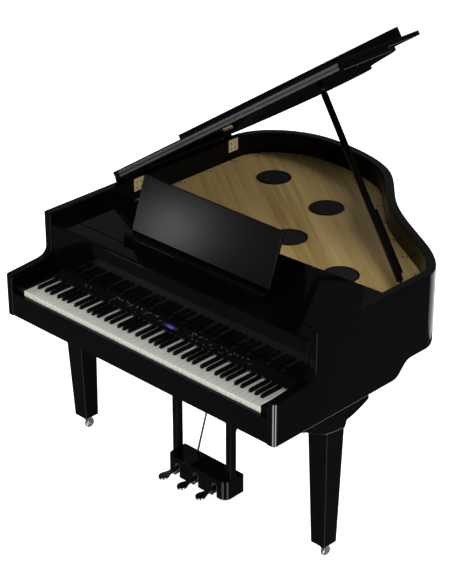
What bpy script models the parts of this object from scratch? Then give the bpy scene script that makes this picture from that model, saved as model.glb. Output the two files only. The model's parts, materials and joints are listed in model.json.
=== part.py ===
"""A digital grand piano, built as separate pieces that fit together.

Metres, +Z up. The pianist sits on the -Y side, and +X is the treble end. All pieces are first laid out
from the middle of the keyboard (x = 0), the front of the white keys (y = 0) and the floor (z = 0).
The last step moves the whole piano so that the middle of its footprint is the origin.
The lid is open on its prop, its front flap is folded back, and the music desk is up.
"""
import math

import bmesh
import bpy
from mathutils import Matrix, Vector
from mathutils.geometry import interpolate_bezier

# Clearances
SEAT = 0.0003
SIDE_PLAY = 0.0040

# Keyboard
WHITE_KEYS = 52
WHITE_PITCH = 0.02356
KEY_GAP = 0.0010
KEY_TOP = 0.7540
KEY_THICKNESS = 0.0240
KEY_LENGTH = 0.2585
KEY_PIVOT_INSET = 0.0183
KEY_PIVOT_Y = KEY_LENGTH - KEY_PIVOT_INSET
KEY_DIP_DEGREES = 2.4
SHARP_FRONT = 0.0490
SHARP_BACK = 0.1440
SHARP_RISE = 0.0120
SHARP_WIDTH = 0.0110
SHARP_TOP_WIDTH = 0.0095
SHARP_SHIFT = {"C": -0.0032, "D": 0.0032, "F": -0.0042, "G": 0.0, "A": 0.0042}
FIRST_LOOSE_WHITE = 23
LAST_LOOSE_WHITE = 26
KEY_SINK = 0.0005
FRAME_THICKNESS = 0.0120
FRAME_BACK_MARGIN = 0.0035
FRAME_RAIL = (0.0200, 0.0360)

# Case
CASE_FRONT = -0.0200
CASE_BOTTOM = 0.6360
RIM_TOP = 0.9970
RIM_WALL = 0.0360
KEY_BLOCK_WIDTH = 0.04514
CASE_HALF_WIDTH = WHITE_KEYS * WHITE_PITCH / 2 + KEY_GAP + KEY_BLOCK_WIDTH + SEAT + RIM_WALL
RIM_FRONT = 0.1860
ARM_TOP_FRONT = 0.8045
ARM_TOP_BACK = 0.8160
ARM_FLAT_END = 0.1360
ARM_SWEEP_TOP = 0.8580
ARM_SWEEP_HANDLE = 0.0280
STRAIGHT_END_Y = 1.2120
TREBLE_BEND_Y = 0.7850
TAIL_Y = 1.4760
TAIL_X = -0.3600
SPINE_HANDLE = 0.1300
TAIL_HANDLES = (0.1750, 0.1400)
BENT_SIDE = (
    ((-0.0100, 1.4010), -29.9, (0.1000, 0.0900)),
    ((0.2030, 1.1940), -45.0, (0.1100, 0.1050)),
    ((0.5130, 0.9850), -30.5, (0.1500, 0.1200)),
)
TREBLE_HANDLE = 0.0650
CUT_MARGIN = 0.1000
BELLY_START = 0.6050
BELLY_END = 0.7000
BELLY_RISE = 0.0580
KEYBED_THICKNESS = 0.0280
REAR_BOARD_THICKNESS = 0.0180
SLIP_FRONT = -0.0160
SLIP_THICKNESS = 0.0140
SLIP_TOP = 0.7340
BLOCK_TOP = 0.7650
INLET_SIZE = (0.0280, 0.0200, 0.0100)
INLET_PLACE = (-0.4200, 1.0200)

# Control panel
PANEL_FRONT = 0.1480
PANEL_BOTTOM = 0.7565
PANEL_NOSE = 0.0035
PANEL_RISE = 0.0200
PANEL_BACK = 0.2050
BUTTON_SIZE = (0.0120, 0.0050, 0.0050)
BUTTON_RISE = 0.0018
BUTTON_TRAVEL = 0.0015
BUTTON_PLAY = 0.0004
LEFT_BUTTONS = (-0.2980, -0.0500)
RIGHT_BUTTONS = (0.1100, 0.4000)
BUTTONS_PER_SIDE = 4
KNOB_PLACES = {"volume_knob": -0.4430, "brilliance_knob": -0.4180}
KNOB_RADIUS = 0.0058
KNOB_HEIGHT = 0.0090
SHAFT_RADIUS = 0.0025
SHAFT_DEPTH = 0.0060
DISPLAY_X = (-0.0300, 0.0450)
DISPLAY_DEPTH = 0.0130
DISPLAY_THICKNESS = 0.0012
FELT_THICKNESS = 0.0017
FELT_HEIGHT = 0.0036

# Fallboard, front top board and music desk
BOARD_THICKNESS = 0.0120
FALLBOARD_HINGE_Y = 0.1930
FALLBOARD_HINGE_Z = 0.8120
FALLBOARD_REACH = 0.1330
LIP_DEPTH = 0.0697
TOP_BOARD_FRONT = 0.2720
TOP_BOARD_REAR_LEFT = 0.5660
TOP_BOARD_REAR_RIGHT = 0.6382
TOP_BOARD_RAIL = 0.0180
LEDGE_HALF_WIDTH = 0.3570
LEDGE_FRONT = 0.2830
LEDGE_DEPTH = 0.0620
LEDGE_HEIGHT = 0.0300
LEDGE_STEP = (0.0140, 0.0090)
LEDGE_REBATE = 0.0010
DESK_HALF_WIDTH = 0.3500
DESK_HEIGHT = 0.2190
DESK_LEAN_DEGREES = 18.9
DESK_HINGE_Y = 0.3260

# Soundboard and speakers
SOUNDBOARD_TOP = 0.9090
SOUNDBOARD_THICKNESS = 0.0090
SOUNDBOARD_LAP = 0.0500
SPEAKERS = ((-0.4080, 1.1650), (-0.0610, 1.0940), (0.0110, 0.7990), (0.3580, 0.6950))
SPEAKER_RADIUS = 0.0700
SPEAKER_FLANGE = 0.0060
GRILLE_HEIGHT = 0.0030

# Lid
LID_HINGE_OUT = 0.0030
LID_HINGE_UP = 0.0030
LID_OPEN_DEGREES = 33.6
LID_THICKNESS = 0.0170
LID_EDGE_ROUND = 0.0030
FLAP_HINGE_Y = 0.5570
FLAP_DEPTH = 0.4190
FLAP_EDGE_GAP = 0.0025
FLAP_LIP_DROP = 0.0400
FLAP_LIP_THICKNESS = 0.0180
FLAP_LIP_SETBACK = 0.0480
LEAF_THICKNESS = 0.0014
LEAF_WIDTH = 0.0095
LEAF_MARGIN = 0.0400
KNUCKLE_RADIUS = 0.0020
HINGE_LEAF = 0.0020
HINGE_KNUCKLE = 0.0034
HINGE_DROP = 0.0520
HINGES = {"hinge_front": (0.6200, 0.6760), "hinge_rear": (1.1560, 1.2110)}

# Lid prop
PROP_FOOT_INSET = 0.0457
PROP_FOOT_Y = 0.7360
PROP_FOOT_RISE = 0.0300
PROP_TIP_ACROSS = 0.6504
PROP_TIP_Y = 1.1610
PROP_TIP_GAP = 0.0059
PROP_BALL = 0.0090
PROP_NECK = 0.0040
PROP_NECK_LENGTH = 0.0260
PROP_WIDTH = 0.0240
PROP_THICKNESS = 0.0160
PROP_PIN = 0.0050
PROP_PIN_LENGTH = 0.0300
HALF_PROP_START = 0.0600
HALF_PROP_LENGTH = 0.3000
HALF_PROP_WIDTH = 0.0100
HALF_PROP_THICKNESS = 0.0120
HALF_PROP_PIVOT = 0.0120
SOCKET_WALL = 0.0030
SOCKET_FLANGE = (0.0080, 0.0030)
SOCKET_BRIM_DROP = 0.0045

# Legs and castors
LEG_TOP_SIZE = 0.0950
LEG_FOOT_SIZE = 0.0660
LEG_TOP_Z = 0.5560
LEG_FOOT_Z = 0.0640
LEG_OUTER_INSET = 0.0005
LEG_TOP_Y = 0.3000
LEG_FOOT_INSET = 0.0550
LEG_FOOT_Y = 0.3110
CORBEL_FRONT = 0.1170
CORBEL_BACK = 0.4730
CORBEL_SLOPE_HANDLES = ((0.0450, -0.0120), (0.0500, -0.0120))
CORBEL_SLOPE_RISE = 0.0140
CORBEL_NECK = (0.0100, 0.0270)
CORBEL_OGEE_HANDLES = ((0.0300, 0.0040), (0.0500, 0.0240))
CORBEL_LIP = 0.0150
REAR_LEG = (-0.1500, 1.2000)
WHEEL_RADIUS = 0.0200
WHEEL_WIDTH = 0.0170
WHEEL_ROUND = 0.0030
WHEEL_TRAIL = 0.0120
AXLE_RADIUS = 0.0030
FORK_PLATE = 0.0030
FORK_CHEEK = 0.0025
FORK_HALF_LENGTH = 0.0180

# Lyre and pedals
LYRE_HALF_WIDTH = 0.1585
LYRE_FRONT = 0.2940
LYRE_BACK = 0.3950
LYRE_BOTTOM = 0.0170
LYRE_TOP = 0.0980
LYRE_CORNER = 0.0300
POST_X = (0.1300, 0.1560)
POST_Y = (0.3260, 0.3570)
ROD_RADIUS = 0.0040
ROD_X = 0.0800
ROD_FOOT_Y = 0.3870
ROD_HEAD_Y = 0.5580
PEDAL_PITCH = 0.1000
PEDAL_TIP_Y = 0.2000
PEDAL_PIVOT_Y = 0.3740
PEDAL_PIVOT_Z = 0.0550
PEDAL_HUB = 0.0070
PEDAL_TIP_WIDTH = 0.0400
PEDAL_ARM_WIDTH = 0.0200
PEDAL_TIP_LENGTH = 0.0560
PEDAL_THICKNESS = 0.0080
PEDAL_TIP_DROP = 0.0050
SLOT_HALF_WIDTH = 0.0135
SLOT_TOP = 0.0760

ARC_STEPS = 6
ROUND_SIDES = 24
SMOOTH_ANGLE = math.radians(32.0)
SMALL = 0.00005


def start_empty():
    """Clears the file and makes the two collections."""
    for old in list(bpy.data.objects):
        bpy.data.objects.remove(old)
    made = {}
    for name in ("digital_grand_piano", "cutters"):
        made[name] = bpy.data.collections.new(name)
        bpy.context.scene.collection.children.link(made[name])
    return made["digital_grand_piano"], made["cutters"]


PIANO, CUTTERS = start_empty()
MATERIALS = {}


def material(name, colour, roughness, metallic=0.0, coat=0.0):
    """One Principled material, made once."""
    if name not in MATERIALS:
        made = bpy.data.materials.new(name)
        made.use_nodes = True
        shader = made.node_tree.nodes["Principled BSDF"]
        shader.inputs["Base Color"].default_value = (*colour, 1.0)
        shader.inputs["Roughness"].default_value = roughness
        shader.inputs["Metallic"].default_value = metallic
        shader.inputs["Coat Weight"].default_value = coat
        MATERIALS[name] = made
    return MATERIALS[name]


def ebony():
    return material("polished_ebony", (0.006, 0.006, 0.007), 0.08, 0.0, 1.0)


def satin_black():
    return material("satin_black", (0.012, 0.012, 0.013), 0.35)


def ivory():
    return material("key_ivory", (0.80, 0.79, 0.74), 0.30)


def key_ebony():
    return material("key_black", (0.010, 0.010, 0.011), 0.38)


def spruce():
    return material("spruce", (0.62, 0.45, 0.24), 0.45)


def cloth_black():
    return material("speaker_cloth", (0.020, 0.020, 0.022), 0.85)


def felt_red():
    return material("red_felt", (0.35, 0.02, 0.03), 0.95)


def brass():
    return material("brass", (0.75, 0.58, 0.28), 0.25, 1.0)


def steel():
    return material("steel", (0.56, 0.56, 0.57), 0.25, 1.0)


def display_blue():
    return material("display", (0.03, 0.05, 0.45), 0.15)


def unlit(obj, holder):
    """Puts an object in one collection only."""
    for owner in list(obj.users_collection):
        owner.objects.unlink(obj)
    holder.objects.link(obj)


def hide_tool(obj):
    """Marks a cutter or a shape that is joined to another, which isn't a piece by itself."""
    unlit(obj, CUTTERS)
    obj.hide_render = True
    obj.display_type = "WIRE"
    return obj


def object_from_bmesh(name, shape):
    mesh = bpy.data.meshes.new(name)
    bmesh.ops.recalc_face_normals(shape, faces=shape.faces)
    shape.to_mesh(mesh)
    shape.free()
    obj = bpy.data.objects.new(name, mesh)
    PIANO.objects.link(obj)
    return obj


def box(name, x, y, z):
    """A block between the two ends given for each axis."""
    shape = bmesh.new()
    bmesh.ops.create_cube(shape, size=1.0)
    bmesh.ops.scale(shape, vec=(x[1] - x[0], y[1] - y[0], z[1] - z[0]), verts=shape.verts)
    middle = Vector(((x[0] + x[1]) / 2, (y[0] + y[1]) / 2, (z[0] + z[1]) / 2))
    bmesh.ops.translate(shape, vec=middle, verts=shape.verts)
    return object_from_bmesh(name, shape)


def rod(name, start, end, radius, sides=ROUND_SIDES, end_radius=None):
    """A round bar between two points, or a cone when it has an end_radius."""
    start, end = Vector(start), Vector(end)
    shape = bmesh.new()
    top = radius if end_radius is None else end_radius
    bmesh.ops.create_cone(
        shape, cap_ends=True, segments=sides, radius1=radius, radius2=top, depth=(end - start).length
    )
    turn = (end - start).to_track_quat("Z", "Y").to_matrix().to_4x4()
    bmesh.ops.transform(shape, matrix=Matrix.Translation((start + end) / 2) @ turn, verts=shape.verts)
    return object_from_bmesh(name, shape)


def plate(name, outline, low, high, along="Z", holes=()):
    """A flat outline given thickness. Along Z the outline is (x, y), along X it is (y, z), along Y it is (x, z)."""
    curve = bpy.data.curves.new(name, "CURVE")
    curve.dimensions = "2D"
    curve.fill_mode = "BOTH"
    curve.extrude = (high - low) / 2
    for loop in (outline, *holes):
        spline = curve.splines.new("POLY")
        spline.points.add(len(loop) - 1)
        for point, (a, b) in zip(spline.points, loop):
            point.co = (a, b, 0.0, 1.0)
        spline.use_cyclic_u = True
    drawn = bpy.data.objects.new(name + "_outline", curve)
    PIANO.objects.link(drawn)
    bpy.context.view_layer.update()
    seen = drawn.evaluated_get(bpy.context.evaluated_depsgraph_get())
    mesh = bpy.data.meshes.new_from_object(seen)
    bpy.data.objects.remove(drawn)
    turns = {
        "Z": Matrix.Identity(4),
        "X": Matrix(((0, 0, 1, 0), (1, 0, 0, 0), (0, 1, 0, 0), (0, 0, 0, 1))),
        "Y": Matrix(((1, 0, 0, 0), (0, 0, -1, 0), (0, 1, 0, 0), (0, 0, 0, 1))),
    }
    shift = {"Z": (0, 0, 1), "X": (1, 0, 0), "Y": (0, 1, 0)}[along]
    middle = Vector(shift) * (low + high) / 2
    shape = bmesh.new()
    shape.from_mesh(mesh)
    bpy.data.meshes.remove(mesh)
    bmesh.ops.remove_doubles(shape, verts=shape.verts, dist=0.00001)
    bmesh.ops.dissolve_limit(shape, angle_limit=0.0001, verts=shape.verts, edges=shape.edges)
    bmesh.ops.transform(shape, matrix=Matrix.Translation(middle) @ turns[along], verts=shape.verts)
    return object_from_bmesh(name, shape)


def turned(name, profile, steps=ROUND_SIDES, axis="Z"):
    """A turned piece: a profile of (radius, height) from the top of its outer side down, closed at the middle."""
    shape = bmesh.new()
    corners = [shape.verts.new((radius, 0.0, height)) for radius, height in profile]
    for one, two in zip(corners, corners[1:]):
        shape.edges.new((one, two))
    mesh = bpy.data.meshes.new(name)
    shape.to_mesh(mesh)
    shape.free()
    obj = bpy.data.objects.new(name, mesh)
    PIANO.objects.link(obj)
    screw = obj.modifiers.new("turn", "SCREW")
    screw.axis = axis
    screw.steps = steps
    screw.render_steps = steps
    screw.use_merge_vertices = True
    screw.merge_threshold = SMALL
    return obj


def to_mesh(obj):
    """Replaces an object's modifiers by the shape that they make."""
    bpy.context.view_layer.update()
    seen = obj.evaluated_get(bpy.context.evaluated_depsgraph_get())
    mesh = bpy.data.meshes.new_from_object(seen)
    old = obj.data
    obj.modifiers.clear()
    obj.data = mesh
    bpy.data.meshes.remove(old)
    return obj


def joined(obj, other, operation):
    """A Boolean with another shape, which is hidden, and later gets the piece's parent."""
    step = obj.modifiers.new(operation.lower(), "BOOLEAN")
    step.operation = operation
    step.solver = "EXACT"
    step.object = hide_tool(other)
    return obj


def cut(obj, other):
    return joined(obj, other, "DIFFERENCE")


def add(obj, other):
    return joined(obj, other, "UNION")


def keep_inside(obj, other):
    return joined(obj, other, "INTERSECT")


def rounded(obj, width, segments=2):
    """Rounded or chamfered edges, on the corners sharper than 30 degrees."""
    bevel = obj.modifiers.new("edges", "BEVEL")
    bevel.width = width
    bevel.segments = segments
    bevel.limit_method = "ANGLE"
    bevel.angle_limit = math.radians(30.0)
    return obj


def finished(obj, look, parent=None, axis_point=None):
    """Gives a piece its material, smooth round sides, its parent, and an origin on its joint's axis."""
    obj.data.materials.clear()
    obj.data.materials.append(look)
    obj.data.shade_smooth()
    obj.data.set_sharp_from_angle(angle=SMOOTH_ANGLE)
    if axis_point is not None:
        obj.data.transform(Matrix.Translation(-Vector(axis_point)))
        obj.location = Vector(axis_point)
    if parent is not None:
        obj.parent = parent
        for step in obj.modifiers:
            if step.type == "BOOLEAN" and step.object.parent is None:
                step.object.parent = parent
    return obj


def empty(name, place, parent):
    made = bpy.data.objects.new(name, None)
    made.location = place
    made.parent = parent
    PIANO.objects.link(made)
    return made


def curve_points(start, leave, end, arrive, steps):
    """A Bezier stretch from one point and handle to the next, as (a, b) pairs."""
    one, two = Vector((*start, 0.0)), Vector((*end, 0.0))
    first, last = one + Vector((*leave, 0.0)), two - Vector((*arrive, 0.0))
    return [(point.x, point.y) for point in interpolate_bezier(one, first, last, two, steps)]


def arc_points(centre, radius, start_degrees, end_degrees, steps):
    """Points on a round stretch, as (a, b) pairs."""
    points = []
    for step in range(steps + 1):
        angle = math.radians(start_degrees + (end_degrees - start_degrees) * step / steps)
        points.append((centre[0] + radius * math.cos(angle), centre[1] + radius * math.sin(angle)))
    return points


def heading(degrees, length):
    angle = math.radians(degrees)
    return (length * math.cos(angle), length * math.sin(angle))


def without_repeats(points):
    """Drops a point that lies on the one before it."""
    kept = []
    for point in points:
        if not kept or math.dist(kept[-1], point) > SMALL:
            kept.append(point)
    if math.dist(kept[0], kept[-1]) <= SMALL:
        kept.pop()
    return kept


def case_outline(front, inset=0.0):
    """The grand's plan from the bass end of its front, round the tail, to the treble end.

    Each knot is a place, the direction of the side there in degrees, and the handles before and after it.
    """
    half = CASE_HALF_WIDTH
    knots = (
        ((-half, STRAIGHT_END_Y), 90.0, (0.0, SPINE_HANDLE)),
        ((TAIL_X, TAIL_Y), 0.0, TAIL_HANDLES),
        *BENT_SIDE,
        ((half, TREBLE_BEND_Y), -90.0, (TREBLE_HANDLE, 0.0)),
    )
    points = []
    for (start, angle, (_, leave)), (end, next_angle, (arrive, _)) in zip(knots, knots[1:]):
        points += curve_points(start, heading(angle, leave), end, heading(next_angle, arrive), 12)
    points = without_repeats([(-half, front), *points, (half, front)])
    if inset == 0.0:
        return points
    moved = []
    for index, point in enumerate(points):
        before = Vector(points[max(index - 1, 0)])
        after = Vector(points[min(index + 1, len(points) - 1)])
        here = Vector(point)
        sides = [side.normalized() for side in (here - before, after - here) if side.length > SMALL]
        normals = [Vector((side.y, -side.x)) for side in sides]
        middle = sum(normals, Vector((0.0, 0.0))).normalized()
        reach = inset / middle.dot(normals[0])
        moved.append((point[0] + middle.x * reach, point[1] + middle.y * reach))
    return moved


def inner_face():
    """How far from the outside the fittings inside the rim stop."""
    return RIM_WALL + SEAT


def belly_profile(low_edge, rise_by):
    """The underside of the case from the keybed's end to the raised rear, as (y, z) points."""
    climb = 0.45 * (BELLY_END - BELLY_START)
    start = (BELLY_START, low_edge)
    end = (BELLY_END, low_edge + rise_by)
    return curve_points(start, (climb, 0.0), end, (climb, 0.0), ARC_STEPS * 2)


def make_rim():
    """The bent side: one wall round the case, with the arms at both ends of the keyboard."""
    outside = case_outline(CASE_FRONT)
    inside = case_outline(CASE_FRONT, RIM_WALL)
    rim = plate("rim", outside + inside[::-1], CASE_BOTTOM, RIM_TOP)
    far = CUT_MARGIN
    flat = (ARM_FLAT_END, ARM_TOP_BACK)
    handle = ARM_SWEEP_HANDLE
    slope = math.atan2(ARM_TOP_BACK - ARM_TOP_FRONT, ARM_FLAT_END - CASE_FRONT)
    sweep = curve_points(flat, (handle * math.cos(slope), handle * math.sin(slope)),
                         (RIM_FRONT, ARM_SWEEP_TOP), (0.0, handle), ARC_STEPS + 2)
    over_arms = [(CASE_FRONT - far, ARM_TOP_FRONT - far * math.tan(slope)), *sweep,
                 (RIM_FRONT, RIM_TOP + far), (CASE_FRONT - far, RIM_TOP + far)]
    reach = CASE_HALF_WIDTH + far
    cut(rim, plate("arm_cutter", over_arms, -reach, reach, "X"))
    under = belly_profile(CASE_BOTTOM, BELLY_RISE)
    below = [(BELLY_START, CASE_BOTTOM - far), *under, (TAIL_Y + far, CASE_BOTTOM + BELLY_RISE),
             (TAIL_Y + far, CASE_BOTTOM - far)]
    cut(rim, plate("belly_cutter", below, -reach, reach, "X"))
    return finished(rim, ebony(), ROOT)


def make_bottom_board():
    """The keybed in front and the raised board behind it, cut to the inside of the rim."""
    front = SLIP_FRONT + SLIP_THICKNESS + SEAT
    keybed_top = CASE_BOTTOM + KEYBED_THICKNESS
    rear_low = CASE_BOTTOM + BELLY_RISE
    rear_top = rear_low + REAR_BOARD_THICKNESS
    past_tail = TAIL_Y + CUT_MARGIN
    under = belly_profile(CASE_BOTTOM, BELLY_RISE)
    shift = REAR_BOARD_THICKNESS - KEYBED_THICKNESS
    over = belly_profile(keybed_top, BELLY_RISE + shift)
    side = [(front, CASE_BOTTOM), *under, (past_tail, rear_low), (past_tail, rear_top), *over[::-1],
            (front, keybed_top)]
    reach = CASE_HALF_WIDTH
    board = plate("bottom_board", without_repeats(side), -reach, reach, "X")
    inside = case_outline(CASE_FRONT - CUT_MARGIN, inner_face())
    keep_inside(board, plate("bottom_board_plan", inside, CASE_BOTTOM - CUT_MARGIN, rear_top + CUT_MARGIN))
    x, y = INLET_PLACE
    wide, deep, tall = INLET_SIZE
    cut(board, box("inlet_cutter", (x - wide / 2, x + wide / 2), (y - deep / 2, y + deep / 2),
                   (rear_low - tall, rear_low + tall)))
    return finished(board, satin_black(), ROOT)


def make_front_of_case():
    """The key slip across the front, and the block at each end of the keys."""
    reach = CASE_HALF_WIDTH - inner_face()
    slip_back = SLIP_FRONT + SLIP_THICKNESS
    slip = box("key_slip", (-reach, reach), (SLIP_FRONT, slip_back), (CASE_BOTTOM, SLIP_TOP))
    finished(rounded(slip, 0.0015), ebony(), ROOT)
    keys_end = WHITE_KEYS * WHITE_PITCH / 2 + KEY_GAP
    low = CASE_BOTTOM + KEYBED_THICKNESS + SEAT
    for name, side in (("key_block_left", -1), ("key_block_right", 1)):
        ends = sorted((side * keys_end, side * reach))
        block = box(name, ends, (slip_back + SEAT, PANEL_FRONT - SEAT), (low, BLOCK_TOP))
        finished(rounded(block, 0.0015), ebony(), ROOT)


def white_letter(index):
    return "ABCDEFG"[index % 7]


def key_name(index, sharp=False):
    """Scientific pitch, with S for sharp: the first white key is A0 and the last is C8."""
    return white_letter(index) + ("S" if sharp else "") + str((index + 5) // 7)


def white_middle(index):
    return (index - (WHITE_KEYS - 1) / 2) * WHITE_PITCH


def sharp_middle(index):
    """Where the sharp after a white key lies, or None where there is none."""
    inside = 0 <= index < WHITE_KEYS - 1
    if not inside or white_letter(index) not in SHARP_SHIFT:
        return None
    return white_middle(index) + WHITE_PITCH / 2 + SHARP_SHIFT[white_letter(index)]


def white_key(name, index):
    """A white key: its head is full width, and its tail passes between the sharps."""
    half = (WHITE_PITCH - KEY_GAP) / 2
    left, right = white_middle(index) - half, white_middle(index) + half
    room = SHARP_WIDTH / 2 + KEY_GAP
    below, above = sharp_middle(index - 1), sharp_middle(index)
    tail_left = left if below is None else below + room
    tail_right = right if above is None else above - room
    notch = SHARP_FRONT - KEY_GAP
    plan = [(left, 0.0), (right, 0.0), (right, notch), (tail_right, notch), (tail_right, KEY_LENGTH),
            (tail_left, KEY_LENGTH), (tail_left, notch), (left, notch)]
    if above is None:
        plan = [point for point in plan if point != (right, notch)]
    if below is None:
        plan = [point for point in plan if point != (left, notch)]
    key = plate(name, plan, KEY_TOP - KEY_THICKNESS, KEY_TOP)
    shape = bmesh.new()
    shape.from_mesh(key.data)
    lip = [edge for edge in shape.edges
           if all(v.co.z > KEY_TOP - SMALL and v.co.y < SMALL for v in edge.verts)]
    bmesh.ops.bevel(shape, geom=lip, offset=0.0014, segments=2, profile=0.5, affect="EDGES")
    shape.to_mesh(key.data)
    shape.free()
    return key


def sharp_key(name, index):
    """A sharp: a bar like a white key's tail, with a raised top that slopes in front and narrows upwards."""
    bottom = KEY_TOP - KEY_THICKNESS
    bar_top = KEY_TOP - KEY_GAP
    top = KEY_TOP + SHARP_RISE
    side = [(SHARP_FRONT, bottom), (KEY_LENGTH, bottom), (KEY_LENGTH, bar_top), (SHARP_BACK, bar_top),
            (SHARP_BACK, top), (SHARP_FRONT + 0.0080, top), (SHARP_FRONT + 0.0035, top - 0.0025),
            (SHARP_FRONT, KEY_TOP)]
    middle = sharp_middle(index)
    key = plate(name, side, middle - SHARP_WIDTH / 2, middle + SHARP_WIDTH / 2, "X")
    for corner in key.data.vertices:
        if corner.co.z > top - 0.003:
            corner.co.x = middle + (corner.co.x - middle) * SHARP_TOP_WIDTH / SHARP_WIDTH
    return key


def key_travel(y):
    """How far a pressed key goes down at a distance from the front."""
    return (KEY_PIVOT_Y - y) * math.sin(math.radians(KEY_DIP_DEGREES))


def make_keyboard():
    """The key frame with the keys that stay still, and the loose keys C4 to F sharp 4, each on its pivot."""
    bottom = KEY_TOP - KEY_THICKNESS
    base = CASE_BOTTOM + KEYBED_THICKNESS + SEAT
    deck = base + FRAME_THICKNESS
    front_rail = FRAME_RAIL
    rest = bottom - key_travel(front_rail[0]) - SEAT * 2
    rail_back = KEY_LENGTH + FRAME_BACK_MARGIN
    seat_top = bottom + KEY_SINK
    side = [(0.0, base), (rail_back, base), (rail_back, seat_top), (KEY_PIVOT_Y, seat_top),
            (KEY_PIVOT_Y, deck), (front_rail[1], deck), (front_rail[1], rest), (front_rail[0], rest),
            (front_rail[0], deck), (0.0, deck)]
    reach = WHITE_KEYS * WHITE_PITCH / 2 + KEY_GAP - SEAT
    frame = plate("key_frame", side, -reach, reach, "X")
    loose_left = white_middle(FIRST_LOOSE_WHITE) - WHITE_PITCH / 2
    loose_right = sharp_middle(LAST_LOOSE_WHITE) + (SHARP_WIDTH + KEY_GAP) / 2
    cut(frame, box("loose_key_seat", (loose_left, loose_right), (KEY_PIVOT_Y - 0.01, rail_back + 0.01),
                   (bottom - SEAT, bottom + 0.02)))
    still = []
    pivot = (0.0, KEY_PIVOT_Y, bottom)
    for index in range(WHITE_KEYS):
        loose = FIRST_LOOSE_WHITE <= index <= LAST_LOOSE_WHITE
        for sharp in (False, True):
            if sharp and sharp_middle(index) is None:
                continue
            maker = sharp_key if sharp else white_key
            middle = sharp_middle(index) if sharp else white_middle(index)
            key = maker("key_" + key_name(index, sharp), index)
            if loose:
                finished(key, key_ebony() if sharp else ivory(), ROOT, (middle, *pivot[1:]))
            else:
                still.append(key)
    everything = bmesh.new()
    for key in still:
        everything.from_mesh(key.data)
        bpy.data.objects.remove(key)
    add(frame, object_from_bmesh("still_keys", everything))
    finished(frame, ivory(), ROOT)


def panel_slope():
    """The front of the control panel: where its slope starts and ends, as (y, z), and its angle."""
    start = (PANEL_FRONT, PANEL_BOTTOM + PANEL_NOSE)
    end = (RIM_FRONT, PANEL_BOTTOM + PANEL_NOSE + PANEL_RISE)
    return start, end, math.atan2(end[1] - start[1], end[0] - start[0])


def make_control_panel():
    """The strip behind the keys: a sloped face with display, buttons and knobs, and a riser behind it."""
    reach = CASE_HALF_WIDTH - inner_face()
    start, end, angle = panel_slope()
    riser_top = FALLBOARD_HINGE_Z - BOARD_THICKNESS / 2 - SEAT
    side = [(PANEL_FRONT, PANEL_BOTTOM), (PANEL_BACK, PANEL_BOTTOM), (PANEL_BACK, riser_top),
            (RIM_FRONT + 0.001, riser_top), end, start]
    panel = plate("control_panel", side, -reach, reach, "X")
    face = empty("panel_face", (0.0, (start[0] + end[0]) / 2, (start[1] + end[1]) / 2), ROOT)
    face.rotation_euler.x = angle
    make_display(panel, face)
    make_buttons(panel, face)
    make_knobs(panel, face)
    finished(panel, ebony(), ROOT)
    keys_end = WHITE_KEYS * WHITE_PITCH / 2
    back = PANEL_FRONT - SEAT
    felt = box("nameboard_felt", (-keys_end, keys_end), (back - FELT_THICKNESS, back),
               (PANEL_BOTTOM, PANEL_BOTTOM + FELT_HEIGHT))
    finished(felt, felt_red(), ROOT)


def make_display(panel, face):
    """The display window, let into a shallow pocket of the sloped face."""
    half = DISPLAY_DEPTH / 2
    pocket = box("display_pocket", DISPLAY_X, (-half, half), (-DISPLAY_THICKNESS, 0.01))
    cut(panel, pocket)
    pocket.parent = face
    x = (DISPLAY_X[0] + SEAT, DISPLAY_X[1] - SEAT)
    y = (-half + SEAT, half - SEAT)
    window = box("display_window", x, y, (-DISPLAY_THICKNESS + SEAT, SEAT))
    finished(window, display_blue(), face)


def spread(ends, count):
    """Evenly spaced places from one end to the other."""
    return [ends[0] + (ends[1] - ends[0]) * step / (count - 1) for step in range(count)]


def make_buttons(panel, face):
    """Push buttons, each in its own well that is deep enough for its travel."""
    wide, deep, tall = BUTTON_SIZE
    low = BUTTON_RISE - tall
    floor = low - BUTTON_TRAVEL - SEAT
    places = spread(LEFT_BUTTONS, BUTTONS_PER_SIDE) + spread(RIGHT_BUTTONS, BUTTONS_PER_SIDE)
    for number, x in enumerate(places, 1):
        well_x = (x - wide / 2 - BUTTON_PLAY, x + wide / 2 + BUTTON_PLAY)
        well_y = (-deep / 2 - BUTTON_PLAY, deep / 2 + BUTTON_PLAY)
        well = box(f"button_{number}_well", well_x, well_y, (floor, 0.01))
        cut(panel, well)
        well.parent = face
        button = box(f"button_{number}", (x - wide / 2, x + wide / 2), (-deep / 2, deep / 2),
                     (low, BUTTON_RISE))
        finished(rounded(button, 0.0006), satin_black(), face, (x, 0.0, 0.0))


def make_knobs(panel, face):
    """Two turning knobs, each with its shaft in a hole of the panel."""
    for name, x in KNOB_PLACES.items():
        hole = rod(name + "_hole", (x, 0.0, -SHAFT_DEPTH - SEAT * 3), (x, 0.0, 0.01), SHAFT_RADIUS + SEAT, 16)
        cut(panel, hole)
        hole.parent = face
        top = SEAT + KNOB_HEIGHT
        profile = [(0.0, top), (KNOB_RADIUS * 0.82, top), (KNOB_RADIUS * 0.9, top - 0.0006),
                   (KNOB_RADIUS, SEAT), (SHAFT_RADIUS, SEAT), (SHAFT_RADIUS, -SHAFT_DEPTH),
                   (0.0, -SHAFT_DEPTH)]
        knob = to_mesh(turned(name, profile))
        finished(knob, satin_black(), face)
        knob.location = (x, 0.0, 0.0)


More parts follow.
